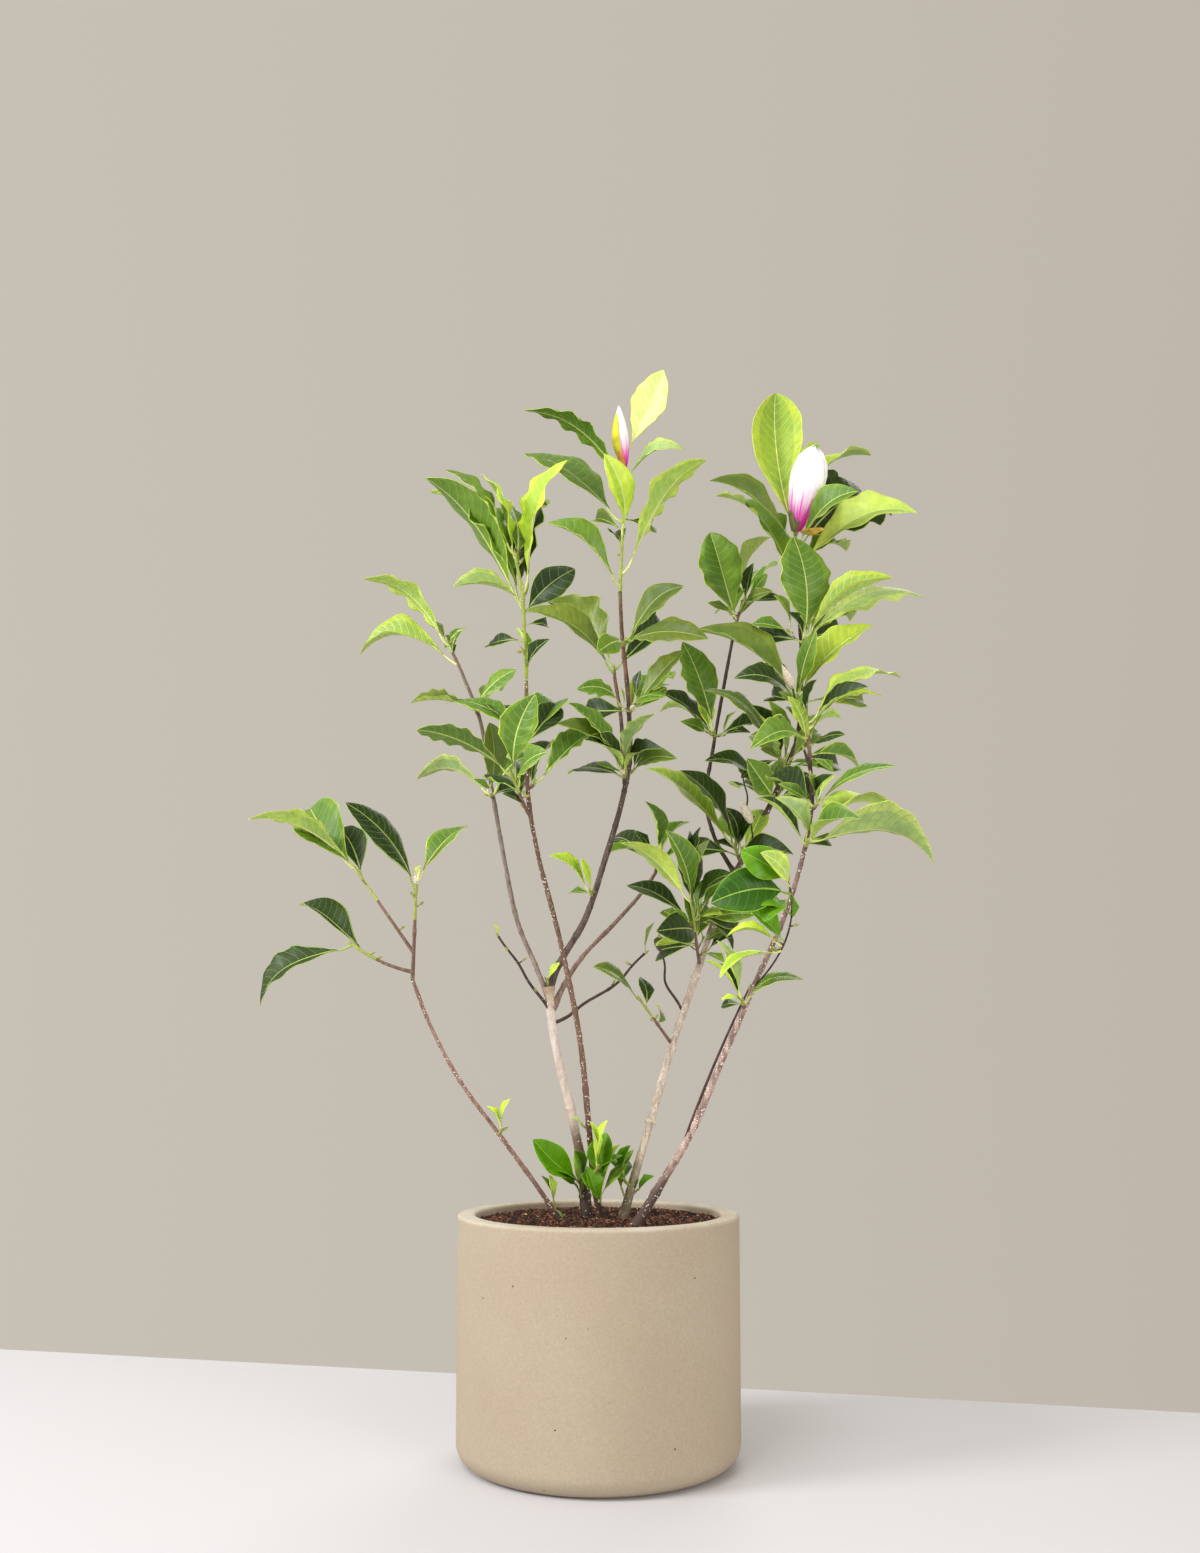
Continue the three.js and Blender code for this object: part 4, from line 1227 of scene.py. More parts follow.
class Shade(Nodes):
    """Material in the making, round one principled shader."""

    def __init__(self, name: str, roughness: float, specular: float = 0.35) -> None:
        """Starts the material.

        Args:
            name: Name of the material.
            roughness: Its roughness.
            specular: Its specular level.
        """
        self.material = bpy.data.materials.new(name)
        self.material.use_nodes = True
        super().__init__(self.material.node_tree)
        self.shader = self.tree.nodes["Principled BSDF"].inputs
        self.shader["Roughness"].default_value = roughness
        self.shader["Specular IOR Level"].default_value = specular
        self.place = self.add("ShaderNodeTexCoord", {})["Object"]

    def effect(self, tree: Any, values: dict[str | int, Any]) -> Any:
        """Places a shared group and gives its output."""
        return self.add("ShaderNodeGroup", {"Place": self.place} | values, node_tree=tree)[0]

    def patches(self, base: Any, patch: Colour, scale: float, share: float, **place: Any) -> Any:
        """Base colour with soft patches of another, by their scale for each metre and their strength."""
        values = {"Scale": scale, "Share": share, "Base": base, "Patch": patch}
        return self.effect(EFFECTS.patches, place | values)

    def specks(self, colour: Any, speck: Colour, scale: float, size: float, share: float) -> Any:
        """Colour with specks of another, by cells for each metre, radius in a cell and share of cells."""
        mask = self.effect(EFFECTS.specks, {"Scale": scale, "Size": size, "Share": share})
        return self.blend(mask, colour, speck)

    def by_height(self, stops: Sequence[Row]) -> Any:
        """Colour that changes with height.

        Args:
            stops: Rows of a height in mm and a display colour, from the lowest.

        Returns:
            The colour socket.
        """
        low, high = stops[0][0], stops[-1][0]
        height = self.add("ShaderNodeSeparateXYZ", {0: self.place})["Z"]
        values = {"Value": height, "From Min": low * MM, "From Max": high * MM}
        colours = [((at - low) / (high - low), srgb(*colour)) for at, *colour in stops]
        return self.ramp(self.add("ShaderNodeMapRange", values)[0], colours)

    def bump(self, scale: float, depth: float) -> None:
        """Gives the surface a fine grain.

        Args:
            scale: Grain for each metre.
            depth: Its depth in mm.
        """
        height = self.effect(EFFECTS.grain, {"Scale": scale})
        raised = self.add("ShaderNodeBump", {"Height": height, "Distance": depth * MM, "Strength": 1.0})
        self.tree.links.new(raised[0], self.shader["Normal"])

    def done(self, colour: Any) -> Material:
        """Joins the colour to the shader and gives the material."""
        self.tree.links.new(colour, self.shader["Base Color"])
        return self.material


@dataclass(frozen=True)
class BarkFinish:
    """Bark of one limb: its colour by height, its patches and flecks, and how rough it is."""

    stops: tuple[Row, ...]
    patch: Spot
    share: float = 0.6
    fleck: Spot = (216, 196, 178)
    flecks: float = 0.12
    roughness: float = 0.78

    def build(self, name: str) -> Material:
        """Makes the material.

        Args:
            name: Its name.

        Returns:
            The material.
        """
        shade = Shade(name, self.roughness)
        patch = srgb(*self.patch)
        ground = shade.by_height(self.stops)
        drawn_out = shade.add("ShaderNodeMapping", {"Vector": shade.place, "Scale": (1, 1, 0.22)})[0]
        streaked = shade.patches(ground, patch, 210, self.share, Place=drawn_out)
        mottled = shade.patches(streaked, shaded(patch, 0.6), 620, self.share * 0.55)
        shade.bump(900, 0.35)
        return shade.done(shade.specks(mottled, srgb(*self.fleck), 420, 0.2, self.flecks))


@dataclass(frozen=True)
class LeafFinish:
    """Face of a leaf: its colour, how much it varies and how it shines."""

    colour: Colour
    roughness: float = 0.42
    specular: float = 0.34
    spots: float = 0.008

    def build(self, name: str) -> Material:
        """Makes the material.

        Args:
            name: Its name.

        Returns:
            The material.
        """
        shade = Shade(name, self.roughness, self.specular)
        paler = shade.patches(self.colour, yellowed(self.colour, 1.3), 30, 0.7)
        mottled = shade.patches(paler, shaded(self.colour, 0.72), 130, 0.42)
        shade.bump(260, 0.06)
        return shade.done(shade.specks(mottled, srgb(96, 74, 38), 95, 0.16, self.spots))


@dataclass(frozen=True)
class PlainFinish:
    """Finish of a small part: one colour with darker patches and a fine grain."""

    colour: Colour
    patch: Colour
    roughness: float = 0.7
    scale: float = 300.0
    share: float = 0.6
    grain: float = 0.1

    def build(self, name: str) -> Material:
        """Makes the material.

        Args:
            name: Its name.

        Returns:
            The material.
        """
        shade = Shade(name, self.roughness)
        shade.bump(self.scale * 4, self.grain)
        return shade.done(shade.patches(self.colour, self.patch, self.scale, self.share))


class Family(Enum):
    """Families of tints that share the colours of their veins, ribs and rims."""

    DEEP = "deep"
    FRESH = "fresh"
    MIDDLE = "middle"
    PALE = "pale"


EDGE_PARTS = ("vein", "rib", "rim")
EDGES: dict[Family, tuple[Colour, ...]] = {
    Family.DEEP: (srgb(84, 114, 56), srgb(164, 184, 96), srgb(160, 192, 70)),
    Family.FRESH: (srgb(72, 118, 20), srgb(140, 176, 62), srgb(150, 200, 44)),
    Family.MIDDLE: (srgb(134, 164, 78), srgb(200, 212, 120), srgb(194, 216, 78)),
    Family.PALE: (srgb(196, 218, 120), srgb(226, 232, 150), srgb(216, 230, 92)),
}
TINTS: dict[Tone, tuple[Family, Colour]] = {
    # The darkest tint is partly the leaves' own dark green and partly painted shade, made darker for leaves
    # deep in the crown and for shaded undersides.
    Tone.DARK: (Family.DEEP, srgb(33, 54, 14)),
    Tone.DEEP: (Family.FRESH, srgb(40, 84, 0)),
    Tone.OLIVE: (Family.DEEP, srgb(90, 112, 42)),
    Tone.MID: (Family.MIDDLE, srgb(86, 124, 38)),
    Tone.BRIGHT: (Family.FRESH, srgb(76, 130, 0)),
    Tone.GREY: (Family.MIDDLE, srgb(146, 174, 106)),
    Tone.LIGHT: (Family.PALE, srgb(138, 168, 58)),
    Tone.UNDER: (Family.PALE, srgb(162, 196, 94)),
    Tone.LIME: (Family.PALE, srgb(168, 204, 66)),
    Tone.PALE: (Family.PALE, srgb(222, 246, 150)),
}


class Band(Enum):
    """Parts of a leaf that have a material of their own, by number."""

    TOP = 0
    UNDER = 1
    VEIN = 2
    RIB = 3
    RIM = 4
    # Paler copies of the top and under faces, as painted light.
    TOP_EDGE = 5
    UNDER_EDGE = 6


class LeafPaints:
    """Materials of the leaves, each made once: faces for each tone, paler copies of them as painted light on
    a lit half and on the strip inside the rim, and edges.
    """

    PAINTED_LIGHT_GAIN = 1.24

    def __init__(self) -> None:
        """Makes the materials."""
        self.faces = {tone: LeafFinish(colour).build("leaf_" + tone.name.lower())
            for tone, (_, colour) in TINTS.items()}
        # Painted light: paler, yellower copies of each tint for the lit half of a leaf and the strip inside
        # its rim.
        outer = {tone: LeafFinish(yellowed(colour, self.PAINTED_LIGHT_GAIN)) for tone, (_, colour) in TINTS.items()}
        self.outer = {tone: finish.build("leaf_edge_" + tone.name.lower()) for tone, finish in outer.items()}
        self.edges: dict[Family, list[Material]] = {}
        for family, colours in EDGES.items():
            finishes = [PlainFinish(colour, shaded(colour, 0.8), 0.5, 120) for colour in colours]
            self.edges[family] = [finish.build(f"{part}_{family.value}")
                for part, finish in zip(EDGE_PARTS, finishes)]

    def of(self, leaf: LeafFrame, turned: bool) -> list[Material]:
        """Materials of a leaf's bands.

        Args:
            leaf: The leaf.
            turned: Whether the eye sees its underside, which then has the leaf's tone.

        Returns:
            A material for each band.
        """
        tones = (Tone.MID, leaf.tone) if turned else (leaf.tone, Tone.UNDER)
        faces = [self.faces[tone] for tone in tones]
        return faces + self.edges[TINTS[leaf.tone][0]] + [self.outer[tone] for tone in tones]


@dataclass(frozen=True)
class BladeSizes:
    """How finely a blade is made: mm, or shares of its length or half width."""

    thickness: float = 0.42
    rib: Pair = (1.15, 0.4)
    rib_depth: Pair = (0.9, 0.2)
    groove: float = 0.16
    rim: float = 0.8
    vein: float = 0.36
    vein_space: float = 11.5
    veins: tuple[int, int] = (3, 11)
    chevron: float = 0.17
    stagger: float = 0.3
    quilt: float = 0.0048
    columns: tuple[float, ...] = (0.36, 0.7)
    small_columns: tuple[float, ...] = (0.55,)
    small: float = 52.0
    full: float = 90.0
    ends: Pair = (0.9, 0.22)
    blunt: Pair = (1.12, 0.84)
    lit_from: float = 0.45
    outline_wave: Pair = (0.019, 0.076)
    wave_height: Pair = (0.01, 0.038)
    calm_below: Pair = (560.0, 800.0)
    calm: float = 0.45
    round_width: float = 1.38
    round_blunt: float = 0.8
    petiole: Pair = (1.35, 0.85)
    petiole_sides: int = 6
    petiole_steps: int = 6


BLADE = BladeSizes()


@dataclass(frozen=True)
class Habit:
    """How one leaf differs from the next."""

    widest: float
    bluntness: float
    width: float
    fold: float
    curl: float
    arch: float
    lean_of_arch: float
    waves: Pair
    ruffle: float
    phases: Pair
    twist: float
    sweep: float
    lit_half: float

    @staticmethod
    def drawn(draw: Callable[..., float]) -> "Habit":
        """Draws a habit, whose parts are drawn in this order.

        Args:
            draw: Next number of a series.

        Returns:
            The habit.
        """
        return Habit(
            widest=draw(1.0, 1.28),
            bluntness=draw(0.9, 1.04),
            width=draw(0.78, 0.95),
            fold=draw(0.16, 0.7),
            curl=draw(-0.34, 0.08),
            arch=draw(0.75, 1.75),
            lean_of_arch=draw(0.95, 1.6),
            waves=(draw(2.4, 5.4), draw(2.4, 5.4)),
            ruffle=draw() ** 2,
            phases=(draw(0, 6.3), draw(0, 6.3)),
            twist=draw(-0.4, 0.4),
            sweep=draw(-0.07, 0.07),
            lit_half=draw(-1, 1),
        )


@dataclass
class Blade:
    """Surface of one leaf: a thin closed sheet whose rows follow its side veins."""

    leaf: LeafFrame
    habit: Habit

    def __post_init__(self) -> None:
        """Works out what its size and its kind settle."""
        leaf, habit = self.leaf, self.habit
        self.small = leaf.size < BLADE.small
        self.gain = min(1.0, leaf.size / BLADE.full)
        self.broad = leaf.broad or leaf.tone in (Tone.BRIGHT, Tone.DEEP)
        self.half = LEAF.width * leaf.size / 2 * habit.width * (BLADE.round_width if self.broad else 1)

    def rows(self) -> tuple[Array, Array, list[bool]]:
        """Places of the rows from base to tip.

        Returns:
            Their shares of the blade, the relief of each and whether a vein starts at each.
        """
        count = int(np.clip(round(self.leaf.size / BLADE.vein_space), *BLADE.veins))
        strip = BLADE.vein / self.leaf.size
        centres = np.linspace(0.1, 0.88, count)
        rows: list[tuple[float, float, bool]] = [(0.0, 0.0, False), (0.035, 0.0, False)]
        for number, centre in enumerate(centres):
            rows += [(centre - strip, -0.35, True), (centre + strip, -0.35, False)]
            if number < count - 1 and not self.small:
                rows.append(((centre + centres[number + 1]) / 2, 1.0, False))
        shares, relief, starts = zip(*rows, (0.94, 0.3, False), (0.98, 0.0, False), (1.0, 0.0, False))
        return np.array(shares), np.array(relief), list(starts)

    def half_width(self, shares: Array) -> Array:
        """Half width of the blade.

        Args:
            shares: Shares of its length.

        Returns:
            The half width at each.
        """
        plain = np.sin(np.pi * np.clip(shares, 0, 1) ** self.habit.widest)
        ends = np.interp(shares, (0, 1), BLADE.ends) * self.gain
        blunt = self.habit.bluntness * np.interp(shares, (0.35, 0.85), BLADE.blunt)
        blunt = blunt * (BLADE.round_blunt if self.broad else 1)
        return np.maximum(self.half * np.clip(plain, 0, 1) ** blunt, ends)

    def columns(self, width: Array, shares: Array) -> Array:
        """Places of the columns across each row, from one rim to the other.

        Args:
            width: Half width of the blade along its middle line.
            shares: Place of each row.

        Returns:
            A row of shares of the half width for each row of the blade.
        """
        rib = np.minimum(np.interp(shares, (0, 1), BLADE.rib) * self.gain / width, 0.3)
        rim = 1 - np.minimum(BLADE.rim * self.gain / width, 0.2)
        inner = BLADE.small_columns if self.small else BLADE.columns
        right = [rib, *(np.maximum(rib + 0.03, share * rim) for share in inner), rim, np.ones_like(rib)]
        return np.stack([-column for column in reversed(right)] + [np.zeros_like(rib)] + right, axis=1)

    def surface(self, shares: Array, across: Array) -> Array:
        """Points of the middle surface.

        Args:
            shares: Share of the blade's length at each point.
            across: Share of the half width at each point.

        Returns:
            The points.
        """
        leaf, habit = self.leaf, self.habit
        whole = LEAF.stalk_share + shares * (1 - LEAF.stalk_share)
        bent = whole ** habit.lean_of_arch
        lift = 4 * leaf.arch * habit.arch * leaf.size * bent * (1 - bent)
        sweep = 4 * habit.sweep * leaf.size * whole * (1 - whole)
        width = self.half_width(shares)
        turn = habit.twist * (shares - 0.35)
        reach = np.abs(across)
        calm = 0.5 if self.small else 1.0
        waves = [np.sin(2 * np.pi * calm * count * shares + phase)
            for count, phase in zip(habit.waves, habit.phases)]
        calm *= np.interp(leaf.root[2], BLADE.calm_below, (BLADE.calm, 1.0))
        side_wave = np.where(across < 0, waves[0], waves[1])
        wave = side_wave * np.interp(habit.ruffle, (0, 1), BLADE.wave_height) * leaf.size * calm
        other = np.where(across < 0, waves[1], waves[0]) * calm
        other = other * np.interp(habit.ruffle, (0, 1), BLADE.outline_wave)
        middle = np.sin(np.pi * shares)
        width = width * (1 + other * reach * middle)
        height = width * (habit.fold * reach + habit.curl * reach**2) + wave * reach**2 * middle
        out = across * width * math.cos(habit.fold)
        along, top, side = (axis[None, None] for axis in (leaf.along, leaf.top, leaf.side))
        cos, sin = np.cos(turn)[..., None], np.sin(turn)[..., None]
        outward, upward = side * cos + top * sin, top * cos - side * sin
        rib = leaf.root + along * (whole * leaf.size)[..., None] + top * lift[..., None]
        return rib + side * sweep[..., None] + outward * out[..., None] + upward * height[..., None]

    def build(self) -> Shell:
        """Makes the blade.

        Returns:
            The closed surface.
        """
        base, relief, starts = self.rows()
        across = self.columns(self.half_width(base), base)
        reach = np.abs(across)
        swing = 4 * base * (1 - base)
        stagger = BLADE.stagger / len(base) * np.sign(across) * np.minimum(reach * 4, 1)
        shares = base[:, None] + swing[:, None] * (BLADE.chevron * reach**1.4 + stagger)
        points = self.surface(shares, across)
        normals = np.cross(np.gradient(points, axis=0), np.gradient(points, axis=1))
        normals /= np.maximum(np.linalg.norm(normals, axis=2, keepdims=True), 1e-12)
        depth = BLADE.quilt * self.leaf.size
        quilt = relief[:, None] * np.sin(np.pi * reach) * depth * swing[:, None] ** 0.5
        thick = np.full_like(quilt, BLADE.thickness / 2 * self.gain)
        thick[:, [0, -1]] = 0
        middle = across.shape[1] // 2
        upper, lower = quilt + thick, quilt - thick
        upper[:, [middle - 1, middle + 1]] -= BLADE.groove * self.gain
        lower[:, middle] -= np.interp(base, (0, 1), BLADE.rib_depth) * self.gain
        return self.closed(points + normals * upper[..., None], points + normals * lower[..., None], starts)

    def closed(self, above: Array, below: Array, starts: list[bool]) -> Shell:
        """Joins the two sides of the blade into one closed surface.

        Args:
            above: Points of the top side.
            below: Points of the underside.
            starts: Whether the strip after each row is a vein.

        Returns:
            The closed surface, whose sides share the points of the rim.
        """
        rows, columns = above.shape[:2]
        top = np.arange(rows * columns).reshape(rows, columns)
        inner = np.arange(rows * (columns - 2)).reshape(rows, columns - 2) + rows * columns
        under = np.concatenate([top[:, :1], inner, top[:, -1:]], axis=1)
        points = np.concatenate([above.reshape(-1, 3), below[:, 1:-1].reshape(-1, 3)])
        middle = columns // 2
        faces = np.stack([cells(top.T).transpose(1, 0, 2), cells(under)], axis=2).reshape(-1, 4).tolist()
        out = np.arange(columns - 1) - middle + 0.5
        # Painted light: one half of some leaves, picked at random, and the strip inside each rim take the
        # paler lit faces.
        paler = self.habit.lit_half * out > BLADE.lit_from * np.abs(out)
        paler[[1, -2]] = True
        bands = np.empty((rows - 1, columns - 1, 2), int)
        bands[..., 0] = np.where(paler, Band.TOP_EDGE.value, Band.TOP.value)
        bands[..., 1] = np.where(paler, Band.UNDER_EDGE.value, Band.UNDER.value)
        bands[starts[:-1]] = Band.VEIN.value
        bands[:, [middle - 1, middle]] = Band.RIB.value
        bands[:, [0, -1]] = Band.RIM.value
        for row, order in ((0, 1), (-1, -1)):
            for ring in cells(np.stack([top[row], under[row]])).reshape(-1, 4).tolist():
                faces.append(list(dict.fromkeys(ring))[::order])
        closing = [Band.RIB.value] * (2 * (columns - 1))
        return Shell(points, [tuple(face) for face in faces], bands.ravel().tolist() + closing)

    def petiole(self) -> Shell:
        """Makes the stalk between the twig and the blade.

        Returns:
            The closed stalk.
        """
        leaf = self.leaf
        end = self.surface(np.array([[0.02]]), np.array([[0.0]]))[0, 0] - leaf.top * 0.3
        bend = leaf.root + (end - leaf.root) * 0.55 - leaf.top * 0.03 * leaf.size
        times = np.linspace(0, 1, BLADE.petiole_steps)[:, None]
        line = leaf.seat * (1 - times) ** 2 + bend * 2 * times * (1 - times) + end * times**2
        radii = np.interp(times[:, 0], (0, 0.3, 1), (BLADE.petiole[0] * 1.25, *BLADE.petiole))
        points, faces = tube(line, radii * self.gain, BLADE.petiole_sides)
        return Shell(points, faces, [Band.RIB.value] * len(faces))


class Graph(Nodes):
    """Geometry Nodes tree with named inputs, baked into plain meshes."""

    def __init__(self, name: str) -> None:
        """Starts the tree.

        Args:
            name: Its name.
        """
        super().__init__(bpy.data.node_groups.new(name, "GeometryNodeTree"))
        self.identifiers: dict[str, str] = {}
        self.given = self.tree.nodes.new("NodeGroupInput")
        self.result = self.tree.nodes.new("NodeGroupOutput")
        for way in ("INPUT", "OUTPUT"):
            self.socket("Geometry", "Geometry", way)

    def size(self, label: str, kind: str = "Float") -> Any:
        """Adds a named input, Float, Int or Material, and gives its socket inside the tree."""
        self.identifiers[label] = self.socket(label, kind)
        return self.given.outputs[label]

    def between(self, low: Any, high: Any, seed: int) -> Any:
        """Random value for each point."""
        return self.add("FunctionNodeRandomValue", {2: low, 3: high, "Seed": seed}, data_type="FLOAT")[1]

    def attribute(self, name: str) -> Any:
        """Value of a named attribute."""
        return self.add("GeometryNodeInputNamedAttribute", {"Name": name})[0]

    def roughened(self, geometry: Any, scale: Any, depth: Any) -> Any:
        """Surface moved in and out by a noise.

        Args:
            geometry: The surface.
            scale: Scale of the noise for each metre.
            depth: How far it moves, from the lowest to the highest.

        Returns:
            The geometry socket.
        """
        noise = self.add("ShaderNodeTexNoise", {"Scale": scale, "Detail": 3.0})["Fac"]
        offset = self.math("MULTIPLY", self.math("SUBTRACT", noise, 0.5), depth)
        normal = self.add("GeometryNodeInputNormal", {})[0]
        moved = self.add("ShaderNodeVectorMath", {0: normal, "Scale": offset}, operation="SCALE")[0]
        return self.add("GeometryNodeSetPosition", {"Geometry": geometry, "Offset": moved})[0]

    def end(self, geometry: Any, finish: Any, smooth: bool = True) -> Any:
        """Realizes the instances and gives the faces their material.

        Args:
            geometry: The geometry socket.
            finish: The material socket.
            smooth: Whether the faces are shaded smooth.

        Returns:
            The geometry socket.
        """
        real = self.add("GeometryNodeRealizeInstances", {0: geometry})[0]
        shown = self.add("GeometryNodeSetShadeSmooth", {0: real, "Shade Smooth": smooth})[0]
        return self.add("GeometryNodeSetMaterial", {"Geometry": shown, "Material": finish})[0]

    def close(self, geometry: Any) -> None:
        """Joins the last socket to the tree's output."""
        self.tree.links.new(geometry, self.result.inputs[0])

    def bake(self, name: str, source: Mesh, values: dict[str, Any]) -> Mesh:
        """Runs the tree on a mesh.

        Args:
            name: Name of the new mesh.
            source: The mesh that it starts from.
            values: A value for each named input.

        Returns:
            The plain mesh.
        """
        carrier = placed(name + "_source", source)
        modifier = carrier.modifiers.new("build", "NODES")
        modifier.node_group = self.tree
        for label, value in values.items():
            modifier[self.identifiers[label]] = value
        depsgraph = bpy.context.evaluated_depsgraph_get()
        mesh = bpy.data.meshes.new_from_object(carrier.evaluated_get(depsgraph), depsgraph=depsgraph)
        mesh.name = name
        carrier.modifiers.remove(modifier)
        bpy.data.objects.remove(carrier)
        return mesh


@dataclass
class Line:
    """Middle line of a limb or twig in mm, its radius, and where its bark is still green."""

    points: Array
    girth: Array
    young: Array


def line_mesh(name: str, lines: Sequence[Line]) -> Mesh:
    """Mesh of edges for the tree that sweeps bark along them.

    Args:
        name: Name of the mesh.
        lines: The lines.

    Returns:
        The mesh in metres, with the radius and the green part as attributes.
    """
    edges: list[tuple[int, int]] = []
    total = 0
    for line in lines:
        edges += [(row, row + 1) for row in range(total, total + len(line.points) - 1)]
        total += len(line.points)
    mesh = bpy.data.meshes.new(name)
    mesh.from_pydata((np.concatenate([line.points for line in lines]) * MM).tolist(), edges, [])
    for label, values in (("girth", np.concatenate([line.girth for line in lines]) * MM),
            ("young", np.concatenate([line.young for line in lines]))):
        mesh.attributes.new(label, "FLOAT", "POINT").data.foreach_set("value", values.astype(np.float32))
    return mesh


class SweptBark(Graph):
    """Round bark swept along lines, roughened, green where it is young."""

    def __init__(self) -> None:
        """Builds the tree."""
        super().__init__("swept_bark")
        sides, depth, scale = self.size("Sides", "Int"), self.size("Relief"), self.size("Relief Scale")
        bark, young = self.size("Bark", "Material"), self.size("Young Bark", "Material")
        curve = self.add("GeometryNodeMeshToCurve", {0: self.given.outputs["Geometry"]})[0]
        ring = self.add("GeometryNodeCurvePrimitiveCircle", {"Resolution": sides, "Radius": 1.0})[0]
        swept = self.add("GeometryNodeCurveToMesh", {"Curve": curve, "Profile Curve": ring,
            "Scale": self.attribute("girth"), "Fill Caps": True})[0]
        barked = self.end(self.roughened(swept, scale, depth), bark)
        green = self.math("GREATER_THAN", self.attribute("young"), 0.5)
        self.close(self.add("GeometryNodeSetMaterial", {"Geometry": barked, "Selection": green,
            "Material": young})[0])


class Strewn(Graph):
    """Small grains strewn over a surface, each turned and sized at random."""

    def __init__(self, name: str, flat: bool) -> None:
        """Builds the tree.

        Args:
            name: Its name.
            flat: Whether the grains lie along the surface, as on bark, and not every way.
        """
        super().__init__(name)
        density, seed = self.size("Density"), self.size("Seed", "Int")
        sizes = [self.size(label) for label in ("Length", "Width", "Height")]
        finish = self.size("Finish", "Material")
        spread = self.add("GeometryNodeDistributePointsOnFaces", {"Mesh": self.given.outputs["Geometry"],
            "Density": density, "Seed": seed})
        ball = self.add("GeometryNodeMeshIcoSphere", {"Radius": 0.5, "Subdivisions": 2 if flat else 1})[0]
        lumpy = self.roughened(ball, 2.0, 0.5)
        shape = self.add("ShaderNodeCombineXYZ", dict(enumerate(sizes)))[0]
        grain = self.add("GeometryNodeTransform", {"Geometry": lumpy, "Scale": shape})[0]
        tilts = (0.0, 0.0) if flat else (-0.7, 0.7)
        turn = [self.between(*tilts, 1), self.between(*tilts, 2), self.between(0.0, 6.28, 3)]
        euler = self.add("ShaderNodeCombineXYZ", dict(enumerate(turn)))[0]
        rotation = self.add("FunctionNodeEulerToRotation", {0: euler})[0]
        laid = self.add("FunctionNodeRotateRotation", {0: spread["Rotation"], 1: rotation},
            rotation_space="LOCAL")[0]
        size = self.between(0.45, 1.25, 4)
        grains = self.add("GeometryNodeInstanceOnPoints", {"Points": spread["Points"], "Instance": grain,
            "Rotation": laid, "Scale": size})[0]
        self.close(self.end(grains, finish, flat))


@dataclass(frozen=True)
class LimbLook:
    """How limbs and twigs are made, in mm."""

    step: float = 2.0
    sides: int = 20
    relief: float = 0.9
    relief_scale: float = 95.0
    flare: Pair = (0.4, 14.0)
    collar: Pair = (0.55, 7.0)
    ring_space: Pair = (26.0, 52.0)
    ring_height: Pair = (0.1, 0.24)
    ring_width: float = 2.0
    sink: float = 4.0
    knob: Pair = (0.5, 6.0)
    twig_step: float = 2.4
    twig_sides: int = 8
    twig_relief: float = 0.35
    twig_relief_scale: float = 240.0
    node: Pair = (0.3, 2.2)


LOOK = LimbLook()
SLIM = {"stem_slender": (0.66, 0.8, 0.83), "stem_pale": (0.76, 1.2, 0.88), "stem_brown": (0.82, 1.0, 0.91),
    "stem_tall": (0.8, 1.0, 1.22), "stem_front": (0.76, 0.55, 0.88)}
KNOTS = {"stem_tall": ((352, 0.7), (431, 0.4), (508, 0.4)), "stem_pale": ((470, 0.15),)}
BARKS = {
    "stem_pale": BarkFinish(((250, 36, 28, 24), (296, 56, 44, 37), (332, 134, 112, 98),
        (358, 232, 214, 200), (470, 244, 230, 220), (496, 206, 182, 150)), (150, 126, 112), 0.34,
        roughness=0.7),
    "stem_brown": BarkFinish(((250, 44, 30, 25), (310, 92, 64, 52), (400, 134, 100, 86),
        (560, 134, 106, 92), (740, 110, 86, 76), (790, 128, 128, 70), (860, 168, 172, 86)), (92, 66, 44),
        0.6, (244, 232, 220), 0.4),
    "stem_tall": BarkFinish(((250, 104, 100, 78), (282, 168, 154, 130), (330, 240, 224, 204),
        (430, 230, 212, 196), (540, 206, 186, 172), (610, 112, 92, 80), (690, 60, 46, 40)), (120, 98, 82),
        0.5, (240, 234, 220), 0.2),
    "stem_front": BarkFinish(((250, 74, 64, 58), (286, 104, 88, 80), (320, 214, 186, 172),
        (420, 208, 180, 168), (560, 160, 134, 124), (740, 98, 80, 74)), (96, 70, 62), 0.7, flecks=0.2),
    "stem_slender": BarkFinish(((250, 84, 68, 62), (296, 176, 140, 128), (420, 198, 160, 146),
        (540, 140, 110, 96)), (112, 74, 64), 0.6, flecks=0.24),
    "bough_left": BarkFinish(((500, 172, 150, 138), (620, 142, 128, 118), (860, 126, 112, 96)),
        (98, 82, 74), 0.6),
    "bough_right": BarkFinish(((500, 178, 152, 140), (760, 140, 112, 100)), (104, 74, 64)),
}
DARK_BOUGH = BarkFinish(((520, 124, 104, 96), (760, 104, 88, 82), (860, 146, 104, 80), (930, 150, 120, 76),
    (960, 164, 168, 88)), (58, 46, 42), 0.7)
DEEP_BOUGH = BarkFinish(((600, 92, 76, 68), (900, 80, 66, 58)), (48, 38, 36), 0.7)
AGED = BarkFinish(((250, 92, 70, 64), (900, 80, 60, 56)), (48, 36, 36), 0.6)
WOODY = BarkFinish(((250, 146, 116, 100), (1100, 132, 104, 88)), (92, 70, 58), 0.6)
GREEN_TWIG = LeafFinish(srgb(150, 164, 78), 0.55, spots=0.03)


def bulge(places: Array, centre: float, width: float) -> Array:
    """Round swelling about a centre, from 0 to 1."""
    return np.exp(-((places - centre) / width) ** 2)


